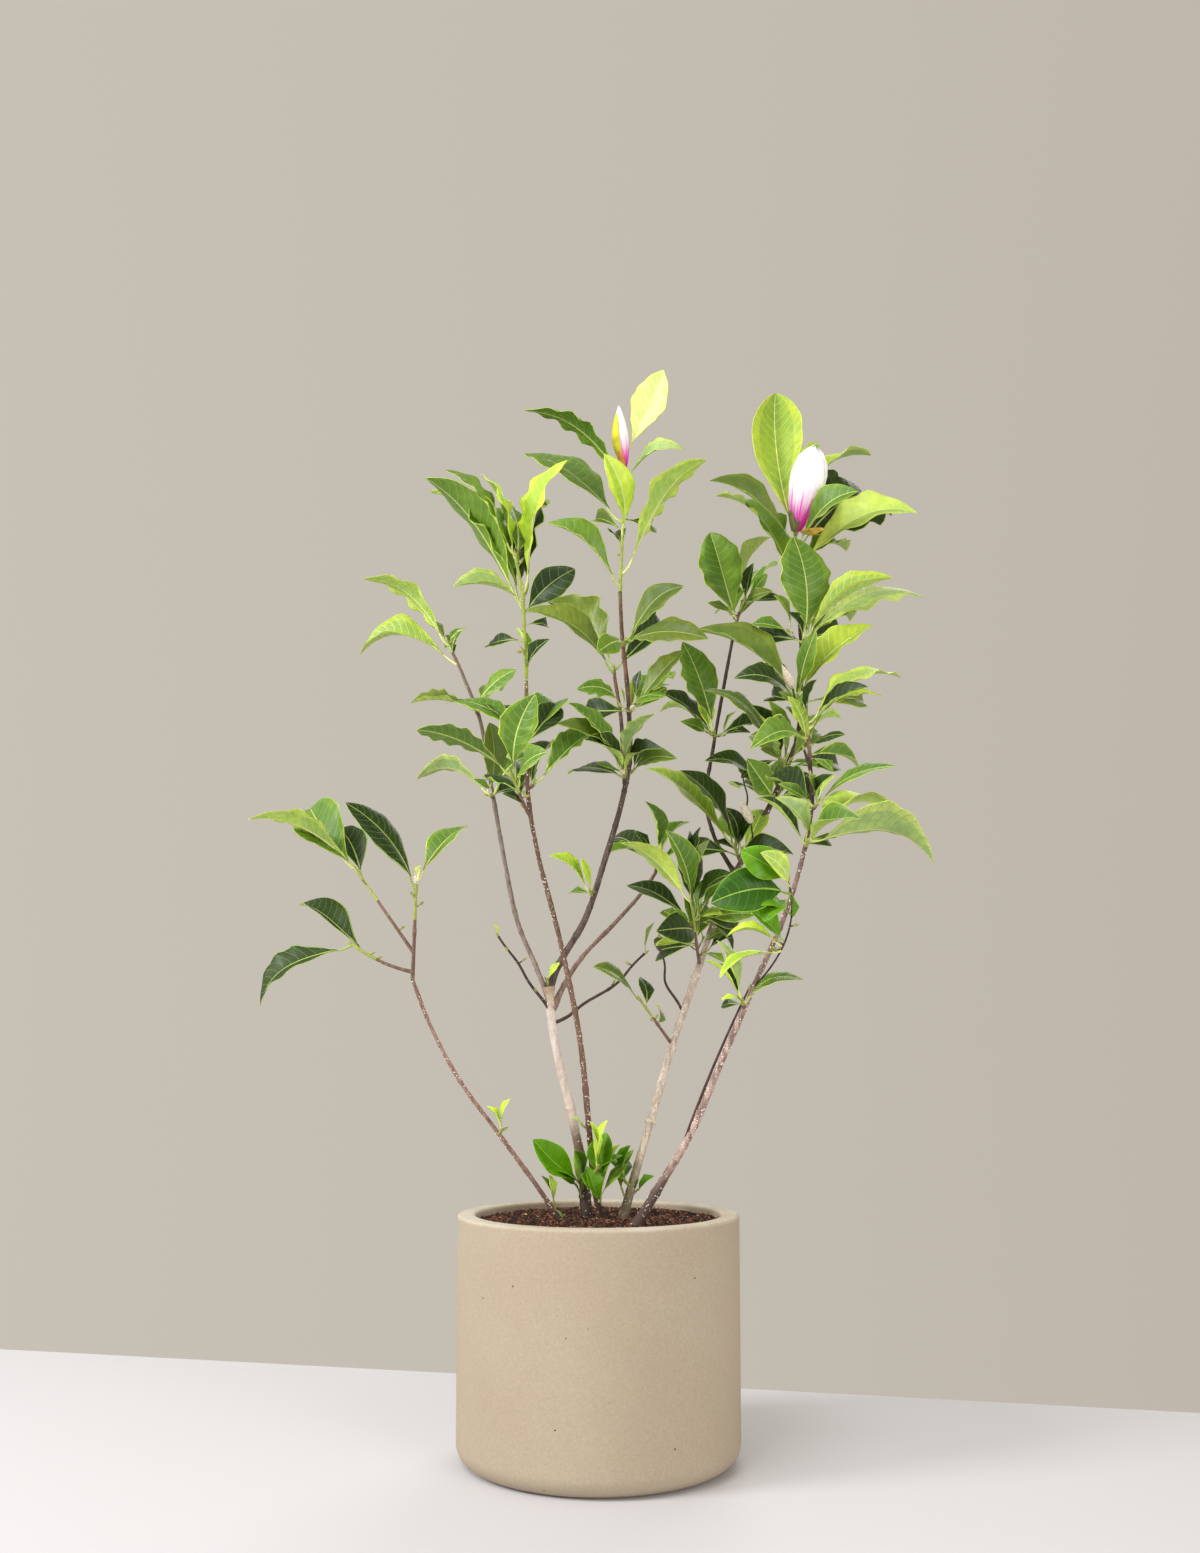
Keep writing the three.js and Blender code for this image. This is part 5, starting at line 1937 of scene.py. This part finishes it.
@dataclass
class Growth:
    """Limbs and twigs of the plant as they are seen."""

    plan: Plan

    def __post_init__(self) -> None:
        """Builds the shared tree and finishes."""
        self.sweep = SweptBark()
        self.woody = WOODY.build("twig_bark")
        self.aged = AGED.build("aged_twig_bark")
        self.green = GREEN_TWIG.build("twig_green")
        self.stems: list[Piece] = []

    def limb_line(self, name: str, limb: Limb, draw: Callable[..., float]) -> Line:
        """Middle line of a limb with the radius at each point.

        Args:
            name: Its node.
            limb: Its route and radii.
            draw: Next number of its series.

        Returns:
            The line.
        """
        seen = limb_curve(limb).spaced(LOOK.step)
        points = np.array([place(*spot) for spot in seen])
        run = np.linspace(0, LOOK.step * (len(points) - 1), len(points))
        slim, bend, end = SLIM.get(name, (1.0, 1.0, 1.0))
        foot, tip = limb.radii[0] * slim, limb.radii[1] * end
        girth = foot + (tip - foot) * np.linspace(0, 1, len(points)) ** bend
        for height, swelling in KNOTS.get(name, ()):
            girth *= 1 + swelling * bulge(seen[:, 1], height, LOOK.ring_width)
        if name == "stem_pale":
            girth *= 1 + LOOK.knob[0] * bulge(run, run[-1], LOOK.knob[1])
        if not limb.parent:
            girth *= 1 + LOOK.flare[0] * np.exp(-(points[:, 2] - SOIL_TOP) / LOOK.flare[1])
            points = np.concatenate([points[:1] - [0, 0, LOOK.sink], points])
            girth, run = np.concatenate([girth[:1], girth]), np.concatenate([[0], run])
        else:
            edge = LIMBS[limb.parent].radii[0]
            girth *= 1 + LOOK.collar[0] * np.exp(-np.maximum(run - edge, 0) / LOOK.collar[1])
        at = 0.0
        while at < run[-1]:
            at += draw(*LOOK.ring_space)
            girth *= 1 + draw(*LOOK.ring_height) * bulge(run, at, LOOK.ring_width)
        waver = 0.04 * np.sin(run / 17 + 6.28 * draw()) + 0.03 * np.sin(run / 7.3 + 6.28 * draw())
        return Line(points, girth * (1 + waver), np.zeros(len(points)))

    def make_limbs(self) -> None:
        """Makes a piece for each limb."""
        for number, (name, limb) in enumerate(LIMBS.items()):
            deep = DEEP_BOUGH if name in ("bough_crown", "bough_back") else DARK_BOUGH
            finish = BARKS.get(name, deep).build("bark_of_" + name)
            line = self.limb_line(name, limb, Series(311 * (number + 1)).draw)
            piece = self.swept("bark_" + name, [line], finish, (LOOK.sides, LOOK.relief, LOOK.relief_scale))
            settle(piece, limb.bark.value, [name])
            self.stems += [] if limb.parent else [piece]

    def twig_line(self, twig: Twig, green: float) -> Line:
        """Middle line of a twig, thicker where its leaves leave it.

        Args:
            twig: The twig.
            green: Share of its length where it turns green.

        Returns:
            The line.
        """
        shares = np.linspace(0, 1, max(6, round(twig.length / LOOK.twig_step)))
        points = np.array([twig.at(share) for share in shares])
        girths = (twig.foot, min(twig.foot, 1.9) * 0.93, 1.25 * twig.foot / 2.1)
        girth = np.interp(shares, (0, 0.25, 1), girths)
        if twig.foot > TWIG.foot:
            girth = np.interp(shares, (0, 0.3, 1), (twig.foot * 0.96, 1.9, 1.35))
        for root in twig.roots:
            girth *= 1 + LOOK.node[0] * bulge(shares * twig.length, root, LOOK.node[1])
        return Line(points, girth * twig.girth, (shares > green).astype(float))

    def make_twigs(self) -> None:
        """Makes a piece of twigs for each region, and one of the bare twigs."""
        sizes = (LOOK.twig_sides, LOOK.twig_relief, LOOK.twig_relief_scale)
        for region, nodes in REGIONS.items():
            lines = []
            for node in [node for node in nodes + FINER_OF.get(region, ()) if node not in BARE]:
                green = -1.0 if region in ("young", "foot") or node in GREEN_MASSES else 0.6
                lines += [self.twig_line(twig, green) for twig in self.plan.twigs[node]]
            settle(self.swept("twigs_" + region, lines, self.woody, sizes), slot_of(region))
        lines = [self.twig_line(twig, 2.0) for node in BARE for twig in self.plan.twigs[node]]
        settle(self.swept("twigs_bare", lines, self.aged, sizes), "foliage")

    def swept(self, name: str, lines: Sequence[Line], bark: Material, sizes: Row) -> Piece:
        """Makes one piece of limbs or twigs.

        Args:
            name: Its name.
            lines: Their lines.
            bark: Their bark.
            sizes: Corners of a ring, depth of the relief in mm and its scale.

        Returns:
            The piece.
        """
        mesh = line_mesh(name.removeprefix("bark_"), lines)
        return placed(name, self.sweep.bake(name, mesh, {"Sides": sizes[0], "Relief": sizes[1] * MM,
            "Relief Scale": sizes[2], "Bark": bark, "Young Bark": self.green}))

    def make_lenticels(self) -> None:
        """Makes the pale pores that dot the bark of the stems."""
        pores = Strewn("bark_pores", True)
        finish = PlainFinish(srgb(250, 240, 226), srgb(206, 186, 168), 0.85, 800).build("pore_cork")
        gather = bpy.data.meshes.new("stems")
        points, faces = [], []
        for stem in self.stems:
            faces += [[corner + len(points) for corner in face.vertices] for face in stem.data.polygons
                if len(face.vertices) == 4]
            points += [tuple(vertex.co) for vertex in stem.data.vertices]
        gather.from_pydata(points, [], faces)
        mesh = pores.bake("lenticels", gather, {"Density": 26000.0, "Seed": 5, "Length": 1.1 * MM,
            "Width": 1.8 * MM, "Height": 0.8 * MM, "Finish": finish})
        settle(placed("lenticels", mesh), Bark.PALE.value)


@dataclass
class Foliage:
    """Leaves of the plant, joined by region."""

    plan: Plan
    paints: LeafPaints

    def make(self) -> None:
        """Makes a piece of leaves for each region."""
        draw = Series(97).draw
        for region, nodes in REGIONS.items():
            gather = Gather("leaves_" + region)
            names = nodes + FINER_OF.get(region, ())
            for leaf in [leaf for name in names for leaf in self.plan.leaves[name]]:
                blade = Blade(leaf, Habit.drawn(draw))
                finishes = self.paints.of(leaf, float((EYE_PLACE - leaf.root) @ leaf.top) < 0)
                gather.add(blade.build(), finishes)
                gather.add(blade.petiole(), finishes)
            settle(gather.make(), slot_of(region), nodes)


@dataclass(frozen=True)
class FlowerSpot:
    """Flower on the stem of a mass: where, which way, and how large, in mm and degrees."""

    mass: str
    share: float
    heading: float
    length: float
    radius: float
    lean: float
    stalk: float
    profile: tuple[Pair, ...]
    spin: float
    sheaths: tuple[tuple[str, float, float, float, float], ...]


FLOWERS = (
    FlowerSpot("foliage_crown", 0.9, 77, 108, 21, 20, 0.06,
        ((0, 0.24), (0.12, 0.5), (0.32, 0.8), (0.55, 0.98), (0.72, 1), (0.86, 0.86), (0.95, 0.55),
            (1, 0.12)),
        0.4, (("olive", -2.75, 0.1, 0.4, 0.26), ("ochre", -0.5, 1.25, 0.27, 0.26))),
    FlowerSpot("foliage_top", 0.86, 95, 80, 7.4, 10, 0.1,
        ((0, 0.4), (0.15, 0.75), (0.35, 0.97), (0.5, 1), (0.72, 0.84), (0.9, 0.48), (1, 0.1)), 1.1,
        (("yellow", -2.95, 0.03, 0.78, 0.12), ("orange", -2.3, 0.3, 0.26, 0.2))),
)


@dataclass(frozen=True)
class PetalFinish:
    """Petals: white above, magenta at the foot, with streaks between."""

    white: Colour = srgb(255, 250, 253)
    blush: Colour = srgb(248, 212, 238)
    pink: Colour = srgb(244, 110, 208)
    magenta: Colour = srgb(232, 40, 176)
    roughness: float = 0.55

    def build(self) -> Material:
        """Makes the material, which follows the petals' own map.

        Returns:
            The material.
        """
        shade = Shade("petal", self.roughness, 0.3)
        uv = shade.add("ShaderNodeUVMap", {}, uv_map="petal")[0]
        rise = shade.add("ShaderNodeSeparateXYZ", {0: uv})["Y"]
        drawn_out = shade.add("ShaderNodeMapping", {"Vector": uv, "Scale": (16.0, 1.6, 1.0)})[0]
        streaks = shade.add("ShaderNodeTexNoise", {"Vector": drawn_out, "Scale": 1.0, "Detail": 4.0})["Fac"]
        wavy = shade.math("ADD", rise, shade.math("MULTIPLY_ADD", streaks, -0.9, 0.45))
        stops = ((0.06, self.magenta), (0.22, self.pink), (0.38, self.blush), (0.6, self.white))
        colour = shade.ramp(wavy, stops)
        shade.bump(500, 0.12)
        return shade.done(colour)


@dataclass(frozen=True)
class PetalSizes:
    """How finely the petals and sheaths are made, with their thickness in mm."""

    petals: int = 9
    rows: int = 22
    columns: int = 11
    thickness: float = 0.45


PETAL = PetalSizes()
DRESS = (
    ("olive", srgb(132, 134, 84), srgb(92, 84, 52), 260),
    ("ochre", srgb(222, 186, 84), srgb(190, 120, 40), 150),
    ("yellow", srgb(232, 222, 60), srgb(180, 168, 30), 120),
    ("orange", srgb(228, 150, 92), srgb(190, 92, 50), 150),
)


@dataclass
class Flower:
    """Closed flower of overlapping petals at its root, with the sheaths that it broke out of."""

    root: Array
    spot: FlowerSpot

    def __post_init__(self) -> None:
        """Works out how it stands."""
        root, spot = self.root, self.spot
        tip = aimed(root, spot.heading, spot.length, spot.lean)
        self.axis = unit(tip - root)
        self.side = unit(np.cross(np.array([0.0, 1.0, 0.0]), self.axis))
        self.front = np.cross(self.axis, self.side)
        self.foot = root + self.axis * spot.stalk * spot.length
        self.height = float(np.linalg.norm(tip - root)) * (1 - spot.stalk)

    def stalk(self) -> Shell:
        """Stalk from the twig to the petals.

        Returns:
            The closed stalk.
        """
        rise = self.root + self.axis * self.spot.stalk * self.spot.length * 0.6
        line = np.array([self.root, rise, self.foot + self.axis * 2])
        return Shell(*tube(line, [1.9, 2.2, self.spot.radius * 0.26], 12))

    def petal(self, number: int) -> tuple[Shell, Array]:
        """Makes one petal.

        Args:
            number: Its number, inner petals last.

        Returns:
            The closed petal and its map.
        """
        spot = self.spot
        whorl = number // 3
        turn = spot.spin + number % 3 * 2 * math.pi / 3 + whorl * math.pi / 3
        rises = np.linspace(0, 1, PETAL.rows)[:, None]
        across = np.linspace(-1, 1, PETAL.columns)[None]
        outline = np.clip(1 - rises**7, 0.02, 1) ** 0.5 * np.clip(0.55 + rises * 2, 0, 1)
        angle = turn + across * outline * 1.25
        wide = np.interp(rises[:, 0], *zip(*spot.profile))[:, None] * spot.radius
        wave = 0.03 * spot.radius * np.sin(angle * 4) * rises**2
        radius = (wide + wave) * (1 - 0.032 * whorl) * (1 + 0.026 * across)
        top = self.height * rises * (1 - 0.025 * (2 - whorl) - 0.012 * (number % 3)) * (1 - 0.03 * across**2)
        spread = np.cos(angle)[..., None] * self.side + np.sin(angle)[..., None] * self.front
        outer = self.foot + spread * radius[..., None] + self.axis * top[..., None]
        uv = np.stack(np.broadcast_arrays(across / 2 + number, rises), axis=2).reshape(-1, 2)
        return sheet(outer, outer - spread * PETAL.thickness), np.concatenate([uv, uv])

    def sheath(self, turn: float, lean: float, length: float, share: float) -> Shell:
        """Makes a small hollow sheath at the foot of the flower.

        Args:
            turn: Its place round the flower.
            lean: How far it leans away from the axis.
            length: Its length as a share of the flower's.
            share: Half its width as a share of its length.

        Returns:
            The closed sheath.
        """
        reach = length * self.spot.length
        rises = np.linspace(0, 1, 12)[:, None]
        across = np.linspace(-1, 1, 7)[None]
        away = self.side * math.cos(turn) + self.front * math.sin(turn)
        along = self.axis * math.cos(lean) + away * math.sin(lean)
        hollow = unit(np.cross(along, np.cross(away, self.axis)))
        wide = share * reach * np.clip(np.sin(np.pi * (0.06 + 0.92 * rises)), 0.05, 1) ** 0.7
        sweep = unit(np.cross(along, hollow)) * (wide * across)[..., None]
        deep = -0.9 * wide * across**2 + 0.14 * reach * np.sin(np.pi * rises)
        start = self.foot + away * self.spot.radius * 0.3 - self.axis * 2
        outer = start + along * (rises * reach)[..., None] + sweep + hollow * deep[..., None]
        return sheet(outer, outer - hollow * PETAL.thickness)


def make_flowers(plan: Plan) -> None:
    """Makes the petals and the sheaths of all flowers.

    Args:
        plan: The planned plant.
    """
    petal = PetalFinish().build()
    dress = {name: PlainFinish(colour, patch, 0.75, scale, grain=0.3).build("sheath_" + name)
        for name, colour, patch, scale in DRESS}
    stalk = PlainFinish(srgb(160, 166, 84), srgb(120, 110, 60), 0.6, 200).build("flower_stalk")
    blooms, sheaths = Gather("flower_petals"), Gather("flower_sheaths")
    maps: list[Array] = []
    for spot in FLOWERS:
        flower = Flower(plan.twigs[spot.mass][0].corner(spot.share), spot)
        for number in range(PETAL.petals):
            shell, uv = flower.petal(number)
            blooms.add(shell, [petal])
            maps.append(uv)
        sheaths.add(flower.stalk(), [stalk])
        for name, *sizes in spot.sheaths:
            sheaths.add(flower.sheath(*sizes), [dress[name]])
    piece = blooms.make()
    layer = piece.data.uv_layers.new(name="petal")
    corners = np.empty(len(piece.data.loops), np.int32)
    piece.data.loops.foreach_get("vertex_index", corners)
    layer.data.foreach_set("uv", np.concatenate(maps)[corners].ravel())
    settle(piece, "foliage")
    settle(sheaths.make(), "foliage")


def sheet(outer: Array, inner: Array) -> Shell:
    """Closed thin sheet between two grids of points.

    Args:
        outer: Points of the side that faces out.
        inner: Points of the other side.

    Returns:
        The closed surface.
    """
    rows, columns = outer.shape[:2]
    front = np.arange(rows * columns).reshape(rows, columns)
    back = front + front.size
    sides = np.stack([cells(front), cells(back.T).transpose(1, 0, 2)], axis=2).reshape(-1, 4)
    rim = np.concatenate([front[0], front[1:, -1], front[-1, -2::-1], front[-2:0:-1, 0]])
    ahead = np.roll(rim, -1)
    edge = np.stack([rim + front.size, ahead + front.size, ahead, rim], axis=1)
    faces = [tuple(face) for face in np.concatenate([sides, edge]).tolist()]
    return Shell(np.concatenate([outer.reshape(-1, 3), inner.reshape(-1, 3)]), faces)


@dataclass
class Buds:
    """Buds at the ends of the twigs and in the axils of all but the least leaves, in mm."""

    plan: Plan
    sides: int = 8
    upright: Spot = (-0.45, -0.25, 0.85)
    outline: tuple[Pair, ...] = ((-0.12, 0.5), (0.06, 0.8), (0.3, 1.0), (0.6, 0.72), (0.85, 0.34), (1, 0.06))
    largest: Pair = (26.0, 5.4)
    large: Pair = (15.0, 3.2)
    small: Pair = (6.5, 1.5)
    least: Pair = (3.6, 1.15)
    least_leaf: float = 50.0

    def make(self) -> None:
        """Makes the small green buds and the large furry ones."""
        green = PlainFinish(srgb(170, 176, 92), srgb(132, 110, 66), 0.6, 320).build("small_bud")
        fur = PlainFinish(srgb(255, 246, 226), srgb(196, 160, 124), 0.95, 420, 0.5, 0.5).build("bud_fur")
        small, furry = Gather("leaf_buds"), Gather("furry_buds")
        for node, twigs in self.plan.twigs.items():
            for number, twig in enumerate(twigs):
                on_top = node in BUD_TWIGS
                large = node in FURRY and number == 0
                way = unit(np.array(self.upright)) if on_top else unit(twig.end - twig.start)
                sizes = self.largest if on_top else self.large if large else self.small
                (furry if large else small).add(self.bud(twig.end, way, *sizes), [fur if large else green])
            for leaf in self.plan.leaves[node]:
                if leaf.size > self.least_leaf:
                    way = unit(leaf.along * 0.5 + np.array([0.0, 0.0, 0.8]))
                    small.add(self.bud(leaf.seat + way * 1.2, way, *self.least), [green])
        settle(small.make(), "foliage")
        settle(furry.make(), "foliage")

    def bud(self, foot: Array, way: Array, length: float, radius: float) -> Shell:
        """One closed bud, by where it sits and points, its length and its largest radius."""
        line = np.array([foot + way * share * length for share, _ in self.outline])
        return Shell(*tube(line, [radius * wide for _, wide in self.outline], self.sides))


@dataclass
class Pot:
    """Stone pot and the soil in it, in mm."""

    radius: float = 150.0
    height: float = 256.0
    wall: float = 19.0
    floor: float = 20.0
    foot_round: float = 22.0
    lip_round: float = 3.0
    segments: int = 192
    soil_rings: int = 64
    soil_depth: float = 6.0

    def turned(self, name: str, profile: Sequence[Pair], finish: Material) -> Piece:
        """Turns an outline round the upright axis.

        Args:
            name: Name of the piece.
            profile: Radius and height of each point, from axis to axis, anticlockwise.
            finish: Its material.

        Returns:
            The closed piece.
        """
        turns = 2 * math.pi * np.arange(self.segments) / self.segments
        inner = np.array(profile[1:-1])
        points = np.stack([np.outer(inner[:, 0], np.cos(turns)), np.outer(inner[:, 0], np.sin(turns)),
            np.outer(inner[:, 1], np.ones(self.segments))], axis=2).reshape(-1, 3)
        ends = np.array([[0, 0, profile[0][1]], [0, 0, profile[-1][1]]])
        faces = [face for face in ring_faces(len(inner), self.segments) if len(face) == 4]
        last = (len(inner) - 1) * self.segments
        for corner in range(self.segments):
            following = (corner + 1) % self.segments
            faces.append((following, corner, len(points)))
            faces.append((last + corner, last + following, len(points) + 1))
        gather = Gather(name)
        gather.add(Shell(np.concatenate([points, ends]), faces), [finish])
        return gather.make()

    @staticmethod
    def arc(across: float, up: float, radius: float, turns: Pair, steps: int) -> list[Pair]:
        """Points of a round edge of the outline, between two turns in degrees."""
        return [(across + radius * math.cos(math.radians(turn)), up + radius * math.sin(math.radians(turn)))
            for turn in np.linspace(*turns, steps + 1)]

    def make_pot(self) -> None:
        """Makes the pot."""
        inner, lip = self.radius - self.wall, self.height - self.lip_round
        foot = self.radius - self.foot_round
        profile = [(0, 0), (foot - 3, 0), *self.arc(foot, self.foot_round, self.foot_round, (-90, 0), 14)]
        profile += [(self.radius, height) for height in np.linspace(self.foot_round + 6, lip - 6, 12)]
        profile += self.arc(self.radius - self.lip_round, lip, self.lip_round, (0, 90), 6)
        profile += self.arc(inner + self.lip_round, lip, self.lip_round, (90, 180), 6)
        profile += [(inner, lip - 4), (inner, self.floor + 2), (inner, self.floor), (inner - 3, self.floor)]
        settle(self.turned("pot_shell", [*profile, (0, self.floor)], self.stone()), "pot", ["pot"])

    def stone(self) -> Material:
        """Makes the cast stone: sandy and finely speckled, with dark specks of painted shade for a few tiny
        pits.

        Returns:
            The material.
        """
        shade = Shade("cast_stone", 0.82, 0.3)
        # The colour turns paler over the last 4 mm up to the top of the lip.
        body, lip_top = (172, 157, 136), (210, 201, 186)
        colour = shade.by_height(((0, *body), (self.height - 4, *body), (self.height, *lip_top)))
        colour = shade.patches(colour, srgb(166, 149, 126), 9, 0.6)
        colour = shade.patches(colour, srgb(188, 175, 156), 620, 0.3)
        colour = shade.patches(colour, srgb(150, 140, 124), 330, 0.25)
        # Dark specks: painted shade that stands for tiny pits in the stone.
        colour = shade.specks(colour, srgb(70, 56, 44), 95, 0.09, 0.07)
        colour = shade.specks(colour, srgb(128, 112, 92), 300, 0.14, 0.06)
        shade.bump(640, 0.14)
        return shade.done(colour)

    def make_soil(self) -> None:
        """Makes the soil bed and strews chips, fibres and crumbs on it."""
        radius = self.radius - self.wall - CLEARANCE
        profile = [(0.0, SOIL_TOP - 60), (radius, SOIL_TOP - 60), (radius, SOIL_TOP - 1)]
        profile += [(share, SOIL_TOP) for share in np.linspace(radius - 0.5, 2, self.soil_rings)]
        earth = PlainFinish(srgb(36, 24, 18), srgb(18, 12, 9), 0.95, 260, 0.9, 0.6).build("earth")
        flat = self.turned("soil_flat", [*profile, (0.0, SOIL_TOP)], earth)
        bed = Graph("uneven_ground")
        depth, finish = bed.size("Depth"), bed.size("Finish", "Material")
        height = bed.add("ShaderNodeSeparateXYZ", {0: bed.add("GeometryNodeInputPosition", {})[0]})["Z"]
        upper = bed.math("GREATER_THAN", height, (SOIL_TOP - 0.5) * MM)
        coarse = bed.add("ShaderNodeTexNoise", {"Scale": 26.0, "Detail": 2.0})["Fac"]
        fine = bed.add("ShaderNodeTexNoise", {"Scale": 150.0, "Detail": 5.0, "Roughness": 0.7})["Fac"]
        rise = bed.math("SUBTRACT", bed.math("ADD", bed.math("MULTIPLY", coarse, 0.7), fine), 0.86)
        lift = bed.add("ShaderNodeCombineXYZ", {2: bed.math("MULTIPLY", rise, depth)})[0]
        moved = bed.add("GeometryNodeSetPosition", {"Geometry": bed.given.outputs["Geometry"],
            "Selection": upper, "Offset": lift})[0]
        bed.close(bed.end(moved, finish))
        mesh = bed.bake("soil_bed", flat.data, {"Depth": self.soil_depth * MM, "Finish": earth})
        bpy.data.objects.remove(flat)
        settle(placed("soil_bed", mesh), "soil", ["soil"])
        self.strew(mesh)

    def strew(self, bed: Mesh) -> None:
        """Strews the loose matter on the soil.

        Args:
            bed: The soil's surface.
        """
        strewn = Strewn("loose_soil", False)
        top = bpy.data.meshes.new("soil_top")
        edge = (self.radius - self.wall - 3) * MM
        faces = [tuple(face.vertices) for face in bed.polygons
            if face.normal.z > 0.3 and face.center.z > (SOIL_TOP - 8) * MM and face.center.xy.length < edge]
        top.from_pydata([tuple(vertex.co) for vertex in bed.vertices], [], faces)
        kinds = (
            ("soil_crumbs", 150000, (2.6, 2.2, 1.8), srgb(30, 20, 15), srgb(14, 9, 7)),
            ("soil_chips", 17000, (7.5, 3.2, 1.6), srgb(84, 50, 36), srgb(34, 21, 15)),
            ("soil_fibres", 30000, (12.0, 1.1, 1.0), srgb(152, 94, 68), srgb(84, 48, 34)),
            ("soil_flakes", 6400, (5.6, 2.8, 0.9), srgb(206, 164, 134), srgb(150, 104, 78)),
        )
        for seed, (name, density, shape, colour, patch) in enumerate(kinds):
            finish = PlainFinish(colour, patch, 0.9, 320, 0.8).build(name + "_wood")
            length, width, height = (value * MM for value in shape)
            mesh = strewn.bake(name, top.copy(), {"Density": float(density), "Seed": seed + 3,
                "Length": length, "Width": width, "Height": height, "Finish": finish})
            settle(placed(name, mesh), "soil")


@dataclass
class Stage:
    """Floor, lights and camera."""

    wall_line: tuple[Pair, Pair] = ((-870.0, 555.0), (716.0, 190.0))
    reach: float = 3600.0
    floor: Colour = srgb(208, 207, 211)
    wall_left: Colour = srgb(200, 194, 182)
    wall_right: Colour = srgb(191, 183, 172)

    def make_floor(self) -> None:
        """Makes the pale floor, which ends where the photograph's does."""
        (x0, y0), (x1, y1) = self.wall_line
        slope = (y1 - y0) / (x1 - x0)
        corners = [(-self.reach, -self.reach), (self.reach, -self.reach)]
        corners += [(side, y0 + slope * (side - x0)) for side in (self.reach, -self.reach)]
        mesh = bpy.data.meshes.new("floor")
        mesh.from_pydata([(x * MM, y * MM, 0.0) for x, y in corners], [], [(0, 1, 2, 3)])
        shade = Shade("pale_floor", 0.6, 0.3)
        mesh.materials.append(shade.done(shade.patches(self.floor, shaded(self.floor, 0.985), 2, 0.6)))
        placed("floor", mesh)

    def make_world(self) -> None:
        """Makes the soft surroundings."""
        world = bpy.data.worlds.new("studio")
        bpy.context.scene.world = world
        world.use_nodes = True
        nodes = Nodes(world.node_tree)
        ways = nodes.add("ShaderNodeTexCoord", {})["Generated"]
        across = nodes.add("ShaderNodeSeparateXYZ", {0: ways})["X"]
        spread = nodes.add("ShaderNodeMapRange", {"Value": across, "From Min": -0.4, "From Max": 0.4})[0]
        colour = nodes.ramp(spread, ((0.0, self.wall_left), (1.0, self.wall_right)))
        world.node_tree.links.new(colour, world.node_tree.nodes["Background"].inputs["Color"])

    def make_lights(self) -> None:
        """Makes a key light above, a low one from the left, and fills from the front and the back."""
        lamps = (("key", (-1.2, -1.7, 3.0), 46.0, 1.6), ("side", (-2.6, -1.05, 1.7), 70.0, 0.9),
            ("front", (1.8, -2.4, 0.7), 40.0, 1.4), ("back", (0.8, 2.4, 2.2), 22.0, 1.6))
        for name, spot, power, size in lamps:
            light = bpy.data.lights.new(name, "AREA")
            light.energy = power
            light.size = size
            lamp = placed(name, light)
            lamp.location = spot
            x, y, z = np.array([0.0, 0.0, 0.5]) - np.array(spot)
            lamp.rotation_euler = (math.atan2(math.hypot(x, y), -z), 0.0, math.atan2(y, x) - math.pi / 2)

    def make_camera(self) -> None:
        """Makes the camera at the photograph's angle."""
        longest = max(EYE.frame)
        data = bpy.data.cameras.new("camera")
        data.sensor_width = 36.0
        data.lens = EYE.focal / longest * data.sensor_width
        data.shift_x = (EYE.frame[0] / 2 - EYE.centre[0]) / longest
        data.shift_y = (EYE.centre[1] - EYE.frame[1] / 2) / longest
        camera = placed("camera", data)
        camera.location = (0.0, -EYE.distance * MM, EYE.height * MM)
        camera.rotation_euler = (math.radians(90 + EYE.tilt), 0.0, 0.0)
        bpy.context.scene.camera = camera
        bpy.context.scene.view_settings.view_transform = "Standard"


def main() -> None:
    """Builds the stage, the pot and the plant in order."""
    logging.basicConfig(level=logging.INFO, format="%(name)s %(message)s")
    stage = Stage()
    stage.make_floor()
    stage.make_world()
    stage.make_lights()
    stage.make_camera()
    pot = Pot()
    pot.make_pot()
    pot.make_soil()
    plan = Plan()
    growth = Growth(plan)
    growth.make_limbs()
    growth.make_twigs()
    growth.make_lenticels()
    Foliage(plan, LeafPaints()).make()
    make_flowers(plan)
    Buds(plan).make()


if __name__ == "__main__":
    main()
